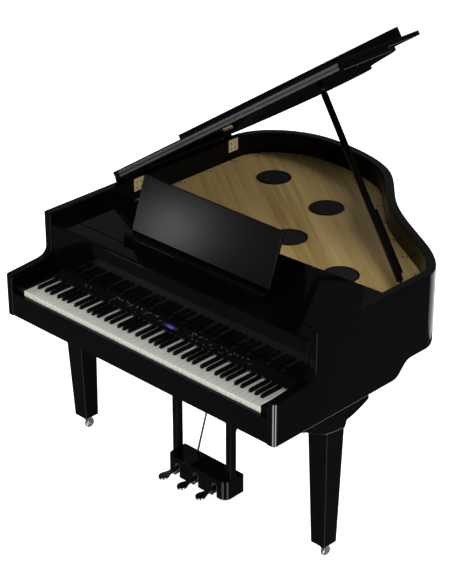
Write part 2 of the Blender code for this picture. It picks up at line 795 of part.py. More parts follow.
def make_fallboard():
    """The keyboard cover, upright behind the keys, with its folding lip level behind its top edge."""
    half = BOARD_THICKNESS / 2
    reach = CASE_HALF_WIDTH - RIM_WALL - SIDE_PLAY
    y, low, high = FALLBOARD_HINGE_Y, FALLBOARD_HINGE_Z, FALLBOARD_HINGE_Z + FALLBOARD_REACH
    side = arc_points((y, low), half, 180.0, 360.0, ARC_STEPS) + arc_points((y, high), half, 0.0, 180.0, ARC_STEPS)
    board = plate("fallboard", side, -reach, reach, "X")
    finished(board, ebony(), ROOT, (0.0, y, low))
    near = y + half + SEAT
    lip = box("fallboard_lip", (-reach, reach), (near, near + LIP_DEPTH), (high - half, high + half))
    finished(lip, ebony(), ROOT, (0.0, y, high))


def top_board_level():
    """Height of the top faces of the fallboard's lip and the front top board."""
    return FALLBOARD_HINGE_Z + FALLBOARD_REACH + BOARD_THICKNESS / 2


def make_front_top_board():
    """The board behind the fallboard that carries the music desk, with a rail along its slanted rear edge."""
    reach = CASE_HALF_WIDTH - inner_face()
    top = top_board_level()
    left, right = TOP_BOARD_REAR_LEFT, TOP_BOARD_REAR_RIGHT
    plan = [(-reach, TOP_BOARD_FRONT), (reach, TOP_BOARD_FRONT), (reach, right), (-reach, left)]
    board = plate("front_top_board", plan, top - BOARD_THICKNESS, top)
    strip = [(-reach, left - TOP_BOARD_RAIL), (reach, right - TOP_BOARD_RAIL), (reach, right), (-reach, left)]
    add(board, plate("top_board_rail", strip, SOUNDBOARD_TOP + SEAT, top - BOARD_THICKNESS / 2))
    finished(board, ebony(), ROOT)


def make_music_desk():
    """The ledge for the sheet music, and the desk that leans back in the ledge's shallow rebate."""
    low = top_board_level() + SEAT
    top = low + LEDGE_HEIGHT
    back = LEDGE_FRONT + LEDGE_DEPTH
    step_y, step_z = LEDGE_STEP
    half = BOARD_THICKNESS / 2
    rebate_front = DESK_HINGE_Y - half - SEAT * 2
    rebate_floor = top - LEDGE_REBATE
    side = [(LEDGE_FRONT, low), (back, low), (back, rebate_floor), (rebate_front, rebate_floor),
            (rebate_front, top), (LEDGE_FRONT + step_y, top)]
    side += curve_points((LEDGE_FRONT + step_y, top), (-step_y / 2, 0.0),
                         (LEDGE_FRONT, top - step_z), (0.0, -step_z / 2), ARC_STEPS)[1:]
    ledge = plate("desk_ledge", side, -LEDGE_HALF_WIDTH, LEDGE_HALF_WIDTH, "X")
    finished(ledge, ebony(), ROOT)
    hinge = (0.0, DESK_HINGE_Y, rebate_floor + SEAT + half)
    swing = empty("desk_hinge_line", hinge, ROOT)
    swing.rotation_euler.x = -math.radians(DESK_LEAN_DEGREES)
    side = arc_points((0.0, 0.0), half, 180.0, 360.0, ARC_STEPS)
    side += [(half, DESK_HEIGHT - half), (-half, DESK_HEIGHT - half)]
    desk = plate("music_desk", side, -DESK_HALF_WIDTH, DESK_HALF_WIDTH, "X")
    finished(desk, ebony(), swing)


def make_soundboard():
    """The spruce board inside the rim, with a round hole and a grille for each of four speakers."""
    inside = case_outline(TOP_BOARD_REAR_LEFT - SOUNDBOARD_LAP, inner_face())
    hole = SPEAKER_RADIUS - SPEAKER_FLANGE
    holes = [arc_points(place, hole, 0.0, 360.0 - 360.0 / ROUND_SIDES, ROUND_SIDES - 1) for place in SPEAKERS]
    low = SOUNDBOARD_TOP - SOUNDBOARD_THICKNESS
    board = plate("soundboard", inside, low, SOUNDBOARD_TOP, "Z", holes)
    finished(board, spruce(), ROOT)
    inner = hole - SEAT
    high, under = GRILLE_HEIGHT, -SOUNDBOARD_THICKNESS / 2
    profile = [(0.0, high * 0.4), (inner * 0.8, high * 0.5), (SPEAKER_RADIUS - 0.003, high),
               (SPEAKER_RADIUS, high * 0.7), (SPEAKER_RADIUS, 0.0), (inner, 0.0), (inner, under), (0.0, under)]
    for number, (x, y) in enumerate(SPEAKERS, 1):
        grille = to_mesh(turned(f"speaker_grille_{number}", profile, ROUND_SIDES))
        finished(grille, cloth_black(), ROOT)
        grille.location = (x, y, SOUNDBOARD_TOP + SEAT)


def lid_across(x):
    """A place across the piano, measured from the lid's hinge line."""
    return x + CASE_HALF_WIDTH + LID_HINGE_OUT


def make_lid():
    """The lid on its hinge line: the main panel, and the front flap folded back on top of it."""
    hinge = (-CASE_HALF_WIDTH - LID_HINGE_OUT, 0.0, RIM_TOP + LID_HINGE_UP)
    swing = empty("lid_hinge_line", hinge, ROOT)
    swing.rotation_euler.y = -math.radians(LID_OPEN_DEGREES)
    front = FLAP_HINGE_Y + FLAP_EDGE_GAP
    plan = [(lid_across(x), y) for x, y in case_outline(front)]
    lid = rounded(plate("lid_main", plan, 0.0, LID_THICKNESS), LID_EDGE_ROUND)
    finished(lid, ebony(), swing)

    flap_axis = LID_THICKNESS + SEAT / 2
    right = lid_across(CASE_HALF_WIDTH)
    folded = empty("flap_hinge_line", (0.0, FLAP_HINGE_Y, flap_axis), swing)
    folded.rotation_euler.x = math.pi
    flap = box("lid_flap", (LID_HINGE_OUT, right), (-FLAP_DEPTH, -FLAP_EDGE_GAP),
               (-flap_axis, LID_THICKNESS - flap_axis))
    rounded(flap, LID_EDGE_ROUND)
    inner = lid_across(-CASE_HALF_WIDTH + inner_face()) + SIDE_PLAY
    outer = lid_across(CASE_HALF_WIDTH - inner_face()) - SIDE_PLAY
    lip_back = -FLAP_DEPTH + FLAP_LIP_SETBACK + FLAP_LIP_THICKNESS
    lip = box("flap_lip", (inner, outer), (lip_back - FLAP_LIP_THICKNESS, lip_back),
              (-flap_axis - FLAP_LIP_DROP, -flap_axis + LID_THICKNESS / 2))
    add(flap, lip)
    finished(flap, ebony(), folded)
    make_flap_hinge(swing, folded, flap_axis, right)


def make_flap_hinge(swing, folded, flap_axis, right):
    """The long hinge of the flap: a leaf on each panel's edge, and the knuckle on the lid's leaf."""
    ends = (LEAF_MARGIN, right - LEAF_MARGIN / 2)
    near = FLAP_EDGE_GAP - SEAT - LEAF_THICKNESS
    leaf = box("lid_hinge_leaf", ends, (FLAP_HINGE_Y + near, FLAP_HINGE_Y + near + LEAF_THICKNESS),
               (flap_axis - KNUCKLE_RADIUS - LEAF_WIDTH, flap_axis - SEAT * 2))
    add(leaf, rod("flap_knuckle", (ends[0], FLAP_HINGE_Y, flap_axis), (ends[1], FLAP_HINGE_Y, flap_axis),
                  KNUCKLE_RADIUS, 12))
    finished(leaf, steel(), swing)
    top = -KNUCKLE_RADIUS - SEAT
    other = box("flap_hinge_leaf", ends, (-near - LEAF_THICKNESS, -near), (top - LEAF_WIDTH, top))
    finished(other, steel(), folded)


def make_lid_hinges():
    """Two brass hinges: a leaf over the top of the rim, bent down its inner face, and a knuckle outside."""
    hinge_x = -CASE_HALF_WIDTH - LID_HINGE_OUT
    hinge_z = RIM_TOP + LID_HINGE_UP
    inner = -CASE_HALF_WIDTH + inner_face()
    low = RIM_TOP + SEAT
    for name, (front, back) in HINGES.items():
        side = [(hinge_x, low), (inner, low), (inner, RIM_TOP - HINGE_DROP), (inner + HINGE_LEAF, RIM_TOP - HINGE_DROP),
                (inner + HINGE_LEAF, low + HINGE_LEAF), (hinge_x, low + HINGE_LEAF)]
        hinge = plate(name, side, front, back, "Y")
        add(hinge, rod(name + "_knuckle", (hinge_x, front, hinge_z), (hinge_x, back, hinge_z), HINGE_KNUCKLE, 16))
        finished(hinge, brass(), ROOT)


def prop_tip():
    """The end of the raised prop, a little under the open lid."""
    opened = math.radians(LID_OPEN_DEGREES)
    hinge_x = -CASE_HALF_WIDTH - LID_HINGE_OUT
    x = hinge_x + PROP_TIP_ACROSS * math.cos(opened) + PROP_TIP_GAP * math.sin(opened)
    z = RIM_TOP + LID_HINGE_UP + PROP_TIP_ACROSS * math.sin(opened) - PROP_TIP_GAP * math.cos(opened)
    return Vector((x, PROP_TIP_Y, z))


def make_prop():
    """The lid's prop, its short second stick, and the socket that its foot stands in.

    The sticks are drawn upright from the foot, with the broad side along x, and then tilted to the tip.
    """
    foot_point = Vector((CASE_HALF_WIDTH - inner_face() - PROP_FOOT_INSET, PROP_FOOT_Y,
                         SOUNDBOARD_TOP + PROP_FOOT_RISE))
    reach = prop_tip() - foot_point
    along = reach.normalized()
    length = reach.length
    side = along.cross(Vector((0.0, 0.0, 1.0))).normalized()
    face = along.cross(side)
    tilt = Matrix((side, face, along)).transposed().to_4x4()
    foot = empty("prop_foot", foot_point, ROOT)
    foot.rotation_euler = tilt.to_euler()

    bar_end = length - PROP_PIN_LENGTH
    stick = box("prop", (-PROP_WIDTH / 2, PROP_WIDTH / 2), (-PROP_THICKNESS / 2, PROP_THICKNESS / 2),
                (PROP_NECK_LENGTH, bar_end))
    rounded(stick, 0.0020, 1)
    ball = bmesh.new()
    bmesh.ops.create_uvsphere(ball, u_segments=16, v_segments=10, radius=PROP_BALL)
    add(stick, object_from_bmesh("prop_ball", ball))
    add(stick, rod("prop_neck", (0, 0, 0), (0, 0, PROP_NECK_LENGTH + 0.01), PROP_NECK, 12))
    add(stick, rod("prop_pin", (0, 0, bar_end - 0.01), (0, 0, length - PROP_PIN / 2), PROP_PIN, 12))
    add(stick, rod("prop_nose", (0, 0, length - PROP_PIN), (0, 0, length), PROP_PIN * 0.98, 12, PROP_PIN * 0.4))
    finished(stick, ebony(), foot)

    near = PROP_WIDTH / 2 + SEAT
    low = HALF_PROP_START
    half = box("half_prop", (near, near + HALF_PROP_WIDTH), (-HALF_PROP_THICKNESS / 2, HALF_PROP_THICKNESS / 2),
               (low, low + HALF_PROP_LENGTH))
    rounded(half, 0.0015, 1)
    finished(half, ebony(), foot, (near, 0.0, low + HALF_PROP_PIVOT))

    rise = PROP_FOOT_RISE - SEAT
    cup = PROP_BALL + SEAT
    start = -math.degrees(math.asin(SOCKET_BRIM_DROP / cup))
    hollow = arc_points((0.0, rise), cup, start, -90.0, ARC_STEPS)
    outer = cup + SOCKET_WALL
    brim = rise - SOCKET_BRIM_DROP
    flange, thick = SOCKET_FLANGE
    profile = [(outer, brim), (outer, brim - PROP_BALL), (outer - SOCKET_WALL, brim - PROP_BALL * 1.6),
               (outer - SOCKET_WALL, thick), (outer + flange, thick), (outer + flange, 0.0), (0.0, 0.0)]
    socket = to_mesh(turned("prop_bracket", hollow[::-1] + profile))
    finished(socket, brass(), ROOT)
    socket.location = foot_point - Vector((0.0, 0.0, rise))


def leg_block(name, top_middle, top_z, top_size, foot_middle):
    """A square leg that narrows from its top to its foot."""
    shape = bmesh.new()
    bmesh.ops.create_cube(shape, size=1.0)
    for corner in shape.verts:
        upper = corner.co.z > 0
        middle = top_middle if upper else foot_middle
        size = top_size if upper else LEG_FOOT_SIZE
        corner.co.x = middle[0] + corner.co.x * size
        corner.co.y = middle[1] + corner.co.y * size
        corner.co.z = top_z if upper else LEG_FOOT_Z
    return object_from_bmesh(name, shape)


def corbel_profile():
    """The leg's bracket under the case, from the side: a long slope in front and a step and ogee behind."""
    top = CASE_BOTTOM - SEAT
    front, back = LEG_TOP_Y - LEG_TOP_SIZE / 2, LEG_TOP_Y + LEG_TOP_SIZE / 2
    leave, arrive = CORBEL_SLOPE_HANDLES
    points = curve_points((CORBEL_FRONT, top), leave, (front, LEG_TOP_Z + CORBEL_SLOPE_RISE), arrive, ARC_STEPS)
    points += [(back, LEG_TOP_Z)]
    leave, arrive = CORBEL_OGEE_HANDLES
    neck = (back + CORBEL_NECK[0], LEG_TOP_Z + CORBEL_NECK[1])
    points += curve_points(neck, leave, (CORBEL_BACK, top - CORBEL_LIP), arrive, ARC_STEPS)
    points += [(CORBEL_BACK, top)]
    return points


def make_legs():
    """Two front legs with their brackets, and a plain rear leg under the raised board."""
    for name, side in (("leg_left", -1), ("leg_right", 1)):
        outer = CASE_HALF_WIDTH - LEG_OUTER_INSET
        top_x = side * (outer - LEG_TOP_SIZE / 2)
        foot = (side * (CASE_HALF_WIDTH - LEG_FOOT_INSET), LEG_FOOT_Y)
        leg = leg_block(name, (top_x, LEG_TOP_Y), LEG_TOP_Z + 0.02, LEG_TOP_SIZE, foot)
        ends = sorted((side * outer, side * (outer - LEG_TOP_SIZE)))
        add(leg, plate(name + "_bracket", corbel_profile(), ends[0], ends[1], "X"))
        finished(leg, ebony(), ROOT)
        make_castor(name.replace("leg_", ""), foot)
    taper = (LEG_TOP_SIZE - LEG_FOOT_SIZE) / (LEG_TOP_Z - LEG_FOOT_Z)
    top = CASE_BOTTOM + BELLY_RISE - SEAT
    leg = leg_block("leg_rear", REAR_LEG, top, LEG_FOOT_SIZE + taper * (top - LEG_FOOT_Z), REAR_LEG)
    finished(rounded(leg, 0.0015, 1), ebony(), ROOT)
    make_castor("rear", REAR_LEG)


def make_castor(place, foot):
    """A swivelling fork under a leg, and the wheel on its axle."""
    swivel = (foot[0], foot[1], LEG_FOOT_Z)
    post = empty("swivel_" + place, swivel, ROOT)
    axle_z = WHEEL_RADIUS - LEG_FOOT_Z
    plate_top = -SEAT
    inner = WHEEL_WIDTH / 2 + SEAT * 2
    outer = inner + FORK_CHEEK
    length = FORK_HALF_LENGTH
    fork = box("castor_fork_" + place, (-outer, outer), (-length, length), (plate_top - FORK_PLATE, plate_top))
    cheek = [(-length, plate_top - FORK_PLATE / 2), (length, plate_top - FORK_PLATE / 2)]
    cheek += arc_points((WHEEL_TRAIL, axle_z), AXLE_RADIUS * 2, 0.0, -180.0, ARC_STEPS)
    for side in (-1, 1):
        ends = sorted((side * inner, side * outer))
        add(fork, plate("fork_cheek", cheek[::-1], ends[0], ends[1], "X"))
    reach = inner + FORK_CHEEK / 2
    add(fork, rod("axle", (-reach, WHEEL_TRAIL, axle_z), (reach, WHEEL_TRAIL, axle_z), AXLE_RADIUS, 12))
    finished(fork, steel(), post)
    half, bore = WHEEL_WIDTH / 2, AXLE_RADIUS + SEAT
    tread = WHEEL_RADIUS - WHEEL_ROUND
    profile = [(bore, half), (tread, half), (WHEEL_RADIUS, half - WHEEL_ROUND),
               (WHEEL_RADIUS, WHEEL_ROUND - half), (tread, -half), (bore, -half), (bore, half)]
    wheel = to_mesh(turned("castor_wheel_" + place, profile, ROUND_SIDES))
    finished(wheel, steel(), post)
    wheel.location = (0.0, WHEEL_TRAIL, axle_z)
    wheel.rotation_euler.y = math.pi / 2


def pedal_places():
    return {"pedal_left": -PEDAL_PITCH, "pedal_middle": 0.0, "pedal_right": PEDAL_PITCH}


def make_lyre():
    """The pedal box on its two posts, with an arched slot for each pedal, and the two rods that brace it."""
    wide, corner = LYRE_HALF_WIDTH, LYRE_CORNER
    plan = arc_points((-wide + corner, LYRE_FRONT + corner), corner, 180.0, 270.0, ARC_STEPS)
    plan += arc_points((wide - corner, LYRE_FRONT + corner), corner, 270.0, 360.0, ARC_STEPS)
    plan += [(wide, LYRE_BACK), (-wide, LYRE_BACK)]
    lyre = plate("lyre", plan, LYRE_BOTTOM, LYRE_TOP)
    top = CASE_BOTTOM - SEAT
    for side in (-1, 1):
        ends = sorted((side * POST_X[0], side * POST_X[1]))
        add(lyre, box("lyre_post", ends, POST_Y, (LYRE_TOP - 0.01, top)))
    for x in pedal_places().values():
        arch = [(x + SLOT_HALF_WIDTH, LYRE_BOTTOM - 0.01)]
        arch += arc_points((x, SLOT_TOP - SLOT_HALF_WIDTH), SLOT_HALF_WIDTH, 0.0, 180.0, ARC_STEPS)
        arch += [(x - SLOT_HALF_WIDTH, LYRE_BOTTOM - 0.01)]
        cut(lyre, plate("pedal_slot", arch, LYRE_FRONT - 0.01, PEDAL_PIVOT_Y + PEDAL_HUB + 0.002, "Y"))
    finished(lyre, ebony(), ROOT)
    for name, side in (("brace_rod_left", -1), ("brace_rod_right", 1)):
        lean = math.atan2(ROD_HEAD_Y - ROD_FOOT_Y, CASE_BOTTOM - LYRE_TOP)
        lift = ROD_RADIUS * math.sin(lean) + SEAT
        foot = (side * ROD_X, ROD_FOOT_Y, LYRE_TOP + lift)
        head = (side * ROD_X, ROD_HEAD_Y, CASE_BOTTOM - lift)
        finished(rod(name, foot, head, ROD_RADIUS, 12), steel(), ROOT)


def make_pedals():
    """Three pedals, each with a broad rounded tip, an arm through its slot, and a hub at its pivot."""
    reach = PEDAL_PIVOT_Y - PEDAL_TIP_Y
    tip, arm = PEDAL_TIP_WIDTH / 2, PEDAL_ARM_WIDTH / 2
    round_tip = arc_points((0.0, -reach + tip), tip, 180.0, 360.0, ARC_STEPS * 2)
    neck = -reach + PEDAL_TIP_LENGTH
    narrow = curve_points((tip, -reach + tip), (0.0, 0.016), (arm, neck), (0.0, 0.016), 5)[1:]
    wide = [(-x, y) for x, y in narrow[::-1]]
    plan = round_tip + narrow + [(arm, 0.0), (-arm, 0.0)] + wide
    for name, x in pedal_places().items():
        pivot = empty(name + "_pivot", (x, PEDAL_PIVOT_Y, PEDAL_PIVOT_Z), ROOT)
        pedal = plate(name, without_repeats(plan), -PEDAL_THICKNESS / 2, PEDAL_THICKNESS / 2)
        for corner in pedal.data.vertices:
            corner.co.z -= PEDAL_TIP_DROP * max(0.0, (neck - corner.co.y) / PEDAL_TIP_LENGTH) ** 1.5
        hub = SLOT_HALF_WIDTH - SEAT
        add(pedal, rod(name + "_hub", (-hub, 0.0, 0.0), (hub, 0.0, 0.0), PEDAL_HUB, 16))
        finished(pedal, steel(), pivot)


def stand_on_origin(root):
    """Moves the whole piano so that the middle of its footprint is the origin."""
    bpy.context.view_layer.update()
    shown = bpy.context.evaluated_depsgraph_get()
    corners = []
    for obj in PIANO.objects:
        if obj.type == "MESH":
            seen = obj.evaluated_get(shown)
            corners += [seen.matrix_world @ corner.co for corner in seen.data.vertices]
    middle_x = (min(c.x for c in corners) + max(c.x for c in corners)) / 2
    middle_y = (min(c.y for c in corners) + max(c.y for c in corners)) / 2
    root.location = (-middle_x, -middle_y, -min(c.z for c in corners))


ROOT = empty("piano_origin", (0.0, 0.0, 0.0), None)
make_rim()
make_bottom_board()
make_front_of_case()
make_keyboard()
make_control_panel()
make_fallboard()
make_front_top_board()
make_music_desk()
make_soundboard()
make_lid()
make_lid_hinges()
make_prop()
make_legs()
make_lyre()
make_pedals()
stand_on_origin(ROOT)
print("pieces", len([obj for obj in PIANO.objects if obj.type == "MESH"]), "moved by", tuple(ROOT.location))
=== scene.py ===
# %% [markdown]
# A digital grand piano, dressed for its portrait.
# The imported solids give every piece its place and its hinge. This script gives each piece its surface:
# the edges that catch light, the grain of the spruce, the cloth of the speakers and the gloss of the case.
# Everything is in metres, with +Z up and the pianist on the -Y side.

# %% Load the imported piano
import json
import math
import random
import bmesh
import bpy
from mathutils import Matrix, Vector


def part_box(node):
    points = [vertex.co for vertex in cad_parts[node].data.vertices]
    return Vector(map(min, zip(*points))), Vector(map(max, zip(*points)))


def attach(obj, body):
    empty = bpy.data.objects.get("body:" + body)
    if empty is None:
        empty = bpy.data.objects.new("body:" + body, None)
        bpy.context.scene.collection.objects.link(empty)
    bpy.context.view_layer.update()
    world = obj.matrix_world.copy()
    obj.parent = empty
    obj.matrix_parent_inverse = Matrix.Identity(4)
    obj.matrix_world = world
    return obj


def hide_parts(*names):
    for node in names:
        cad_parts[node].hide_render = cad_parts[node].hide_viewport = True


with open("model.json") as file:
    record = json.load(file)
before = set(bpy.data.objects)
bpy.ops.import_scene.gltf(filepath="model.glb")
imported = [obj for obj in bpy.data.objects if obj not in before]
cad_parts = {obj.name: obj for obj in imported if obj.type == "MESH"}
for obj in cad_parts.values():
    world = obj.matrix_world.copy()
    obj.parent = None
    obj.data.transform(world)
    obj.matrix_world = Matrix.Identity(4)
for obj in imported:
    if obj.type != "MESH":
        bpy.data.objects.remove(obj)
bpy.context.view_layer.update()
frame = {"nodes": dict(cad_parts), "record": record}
body_of = {node: body for body, nodes in frame["record"]["behaviour"]["bodies"].items() for node in nodes}


def middle_of(node):
    """The middle of a solid's box."""
    low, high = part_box(node)
    return (low + high) / 2


print("loaded", len(frame["nodes"]), "solids on", len(body_of), "places")

# %% [markdown]
# The camera comes first, because the photograph's viewpoint decides what the surfaces have to show.
# It stands off to the treble side, about a storey up, and looks down at the keys with a long lens.
# Its place was found by fitting the keyboard's ends and the case's corners, so it is given as one point,
# two angles and a small tilt of the horizon.

# %% The camera
CAMERA_PLACE = Vector((4.3195, -4.6949, 4.0303))
CAMERA_AZIMUTH = math.radians(44.215)
CAMERA_DOWN = math.radians(27.614)
CAMERA_ROLL = math.radians(-0.1035)
CAMERA_LENS = 115.754


def make_camera():
    camera = bpy.data.objects.new("portrait_camera", bpy.data.cameras.new("portrait_camera"))
    bpy.context.scene.collection.objects.link(camera)
    camera.data.lens = CAMERA_LENS
    turn = Matrix.Rotation(CAMERA_AZIMUTH, 4, "Z") @ Matrix.Rotation(math.pi / 2 - CAMERA_DOWN, 4, "X")
    camera.matrix_world = Matrix.Translation(CAMERA_PLACE) @ turn @ Matrix.Rotation(CAMERA_ROLL, 4, "Z")
    bpy.context.scene.camera = camera
    return camera


camera = make_camera()
print("camera looks along", [round(c, 3) for c in camera.matrix_world.to_3x3() @ Vector((0, 0, -1))])

# %% [markdown]
# A surface is written as a recipe: a formula over the piece's own coordinates. Blender's nodes can be
# wired by hand, but long chains are hard to read. So a socket is wrapped in a small class, and ordinary
# arithmetic on it adds the Math nodes. Colours go through Mix nodes, since a Math node would grey them.

# %% A socket that can be calculated with
class Socket:
    """One output of a shader node. Arithmetic on it adds the Math nodes for the same sum."""

    def __init__(self, recipe, output):
        self.recipe = recipe
        self.output = output

    def math(self, operation, *others):
        inputs = dict(enumerate((self, *others)))
        return self.recipe.node("Math", {"operation": operation}, inputs)

    def __add__(self, other):
        return self.math("ADD", other)

    def __sub__(self, other):
        return self.math("SUBTRACT", other)

    def __rsub__(self, other):
        return (self * -1.0) + other

    def __mul__(self, other):
        return self.math("MULTIPLY", other)

    def __truediv__(self, other):
        return self.math("DIVIDE", other)

    def __pow__(self, other):
        return self.math("POWER", other)

    __radd__ = __add__
    __rmul__ = __mul__

    def wave(self):
        return self.math("SINE")

    def size(self):
        return self.math("ABSOLUTE")

    def floor(self):
        return self.math("FLOOR")

    def between(self, low, high):
        """0 below low, 1 above high, and a soft step from one to the other."""
        values = {"Value": self, "From Min": low, "From Max": high}
        return self.recipe.node("MapRange", {"interpolation_type": "SMOOTHSTEP"}, values)

    def within(self, start, full, fade, end):
        """0 outside start and end, 1 from full to fade, and a soft step on each side."""
        return self.between(start, full) * (1.0 - self.between(fade, end))

    def tint(self, dark, light):
        """A colour that goes from dark, where the socket is 0, to light, where it is 1."""
        values = {0: self, 6: dark, 7: light}
        return self.recipe.node("Mix", {"data_type": "RGBA"}, values, 2)


# %% A recipe: one material in the making
class Recipe:
    """A material, or a world, whose nodes are added by one method."""

    def __init__(self, name, store=bpy.data.materials):
        self.owner = store.new(name)
        self.owner.use_nodes = True
        self.tree = self.owner.node_tree

    def node(self, kind, settings=None, inputs=None, output=0):
        """Adds one node. Its settings come first, because they can change which sockets it has."""
        made = self.tree.nodes.new("ShaderNode" + kind)
        for name, value in (settings or {}).items():
            setattr(made, name, value)
        for key, value in (inputs or {}).items():
            self.plug(made.inputs[key], value)
        return Socket(self, made.outputs[output])

    def plug(self, target, value):
        if isinstance(value, Socket):
            self.tree.links.new(value.output, target)
        elif hasattr(value, "__len__") and len(value) == 3 and len(target.default_value) == 4:
            target.default_value = (*value, 1.0)
        else:
            target.default_value = value

    def place(self, stretch=(1.0, 1.0, 1.0), turn=0.0, axis="Z_AXIS"):
        """The piece's own coordinates in metres, turned about an axis and then stretched along each."""
        here = self.node("TexCoord", output="Object")
        turned = self.node("VectorRotate", {"rotation_type": axis}, {"Vector": here, "Angle": turn})
        return self.node("VectorMath", {"operation": "MULTIPLY"}, {0: turned, 1: stretch})

    def noise(self, where, scale, detail=2.0, roughness=0.5):
        return self.node("TexNoise", None, {"Vector": where, "Scale": scale, "Detail": detail,
                                            "Roughness": roughness})

    def axes(self, where):
        """The three numbers of a place."""
        split = self.node("SeparateXYZ", None, {0: where})
        return [Socket(self, output) for output in split.output.node.outputs]

    def bump(self, height, depth, strength):
        values = {"Height": height, "Distance": depth, "Strength": strength}
        return self.node("Bump", None, values)

    def finish(self, **values):
        """Sets the Principled shader's sockets. Base_Color stands for the socket Base Color."""
        shader = self.tree.nodes["Principled BSDF"]
        for name, value in values.items():
            self.plug(shader.inputs[name.replace("_", " ")], value)
        return self.owner


print("recipes are ready")

# %% [markdown]
# Black piano lacquer is polyester, sprayed thick, sanded flat and polished. Up close it is never perfect:
# it undulates a little like orange peel, and cloths leave a haze of fine swirls that blunts the mirror
# in patches. Both are too small to see as shapes, so they go into the roughness and a very shallow bump.

# %% Black lacquer, polished and satin
LACQUER = (0.0008, 0.0008, 0.0009)
LACQUER_LIT = (0.0014, 0.0013, 0.0014)


def lacquer(name, gloss, haze, specular, peel=0.000012):
    recipe = Recipe(name)
    where = recipe.place()
    cloud = recipe.noise(where, 5.0, 3.0)
    swirl = recipe.noise(recipe.place((1.0, 7.0, 1.0), 0.6), 60.0, 4.0, 0.7)
    blunt = cloud.between(0.35, 0.75) * swirl
    wavy = recipe.noise(where, 420.0, 1.0)
    return recipe.finish(
        Base_Color=cloud.between(0.3, 0.7).tint(LACQUER, LACQUER_LIT),
        Roughness=blunt * haze + gloss,
        Specular_IOR_Level=specular,
        Normal=recipe.bump(wavy, peel, 0.6),
    )


polished = lacquer("polished_ebony", 0.045, 0.05, 0.10)
desk_black = lacquer("desk_ebony", 0.21, 0.03, 0.22)
burnished = lacquer("burnished_ebony", 0.045, 0.02, 0.75)
painted = lacquer("satin_black", 0.38, 0.10, 0.30, 0.00004)

# %% [markdown]
# The soundboard is quarter-sawn spruce, glued up from planks whose grain runs slantwise from the bass
# corner of the tail to the treble. Seen from above it is a fan of close, nearly straight rings with broad
# warmer and cooler streaks. An image would do, but it would not line up with the real board, so the rings
# are worked out from the distance across the grain: fine rings, slow drift, and one tone for each plank.

# %% Spruce
GRAIN_TURN = math.radians(35.4)
PLANK_WIDTH = 0.105
RING_WIDTH = 0.0034


def spruce_recipe(name, pale, warm, dark):
    recipe = Recipe(name)
    _, across, _ = recipe.axes(recipe.place(turn=GRAIN_TURN))
    drift = recipe.noise(recipe.place((0.5, 3.0, 1.0), GRAIN_TURN), 2.2, 3.0)
    waver = across + drift * 0.012
    rings = ((waver * (2.0 * math.pi / RING_WIDTH)).wave() + 1.0) * 0.5
    plank = (across / PLANK_WIDTH).floor()
    tone = recipe.node("TexWhiteNoise", {"noise_dimensions": "1D"}, {"W": plank})
    streak = recipe.noise(recipe.place((0.6, 16.0, 1.0), GRAIN_TURN), 1.6, 4.0, 0.6)
    fibre = recipe.noise(recipe.place((14.0, 620.0, 1.0), GRAIN_TURN), 1.0, 2.0, 0.6)
    warmth = streak.between(0.38, 0.66) * 0.75 + tone * 0.25
    body = warmth.tint(pale, warm)
    late = rings ** 4.0 * 0.32 + fibre.between(0.55, 0.75) * 0.18 + streak.between(0.62, 0.72) * 0.25
    colour = recipe.node("Mix", {"data_type": "RGBA"}, {0: late, 6: body, 7: dark}, 2)
    return recipe.finish(
        Base_Color=colour,
        Roughness=fibre * 0.14 + 0.36,
        Specular_IOR_Level=0.35,
        Normal=recipe.bump(rings * 0.5 + fibre, 0.00006, 0.35),
    )


spruce = spruce_recipe("spruce", (0.36, 0.265, 0.105), (0.225, 0.138, 0.044), (0.150, 0.092, 0.028))

# %% [markdown]
# The keys are moulded, with a surface that grips a dry or a damp finger: the whites have faint mineral
# streaks like old ivory, and the sharps a fine open grain like ebony. Both streaks run along the key.

# %% Key surfaces
def key_surface(name, dark, light, roughness, streaks, specular):
    recipe = Recipe(name)
    streak = recipe.noise(recipe.place((520.0, 16.0, 300.0)), 1.0, 3.0, 0.6)
    cloud = recipe.noise(recipe.place((30.0, 6.0, 30.0)), 1.0, 2.0)
    shade = streak.between(0.40, 0.68) * streaks + cloud * (1.0 - streaks)
    return recipe.finish(
        Base_Color=shade.tint(dark, light),
        Roughness=streak * 0.16 + roughness,
        Specular_IOR_Level=specular,
        Normal=recipe.bump(streak, 0.00003, 0.4),
    )


ivory = key_surface("key_ivory", (0.405, 0.400, 0.360), (0.455, 0.450, 0.410), 0.24, 0.45, 0.35)
sharp_black = key_surface("key_black", (0.0015, 0.0015, 0.0015), (0.0045, 0.0045, 0.0045), 0.20, 0.8, 0.12)

# %% [markdown]
# Metals: the hinges are brass, the long hinge and the pedals are plated steel. Brushed metal has fine
# scratches in one direction, so its noise is stretched along that direction until it becomes lines.

# %% Metals
def metal(name, dark, light, roughness, stretch, depth=0.00002, metallic=1.0, tilt=0.0):
    recipe = Recipe(name)
    lines = recipe.noise(recipe.place(stretch, tilt, "Y_AXIS"), 1.0, 3.0, 0.65)
    smear = recipe.noise(recipe.place(), 18.0, 2.0)
    return recipe.finish(
        Base_Color=(lines * 0.7 + smear * 0.3).tint(dark, light),
        Metallic=metallic,
        Roughness=lines * 0.18 + smear * 0.08 + roughness,
        Normal=recipe.bump(lines, depth, 0.35),
    )


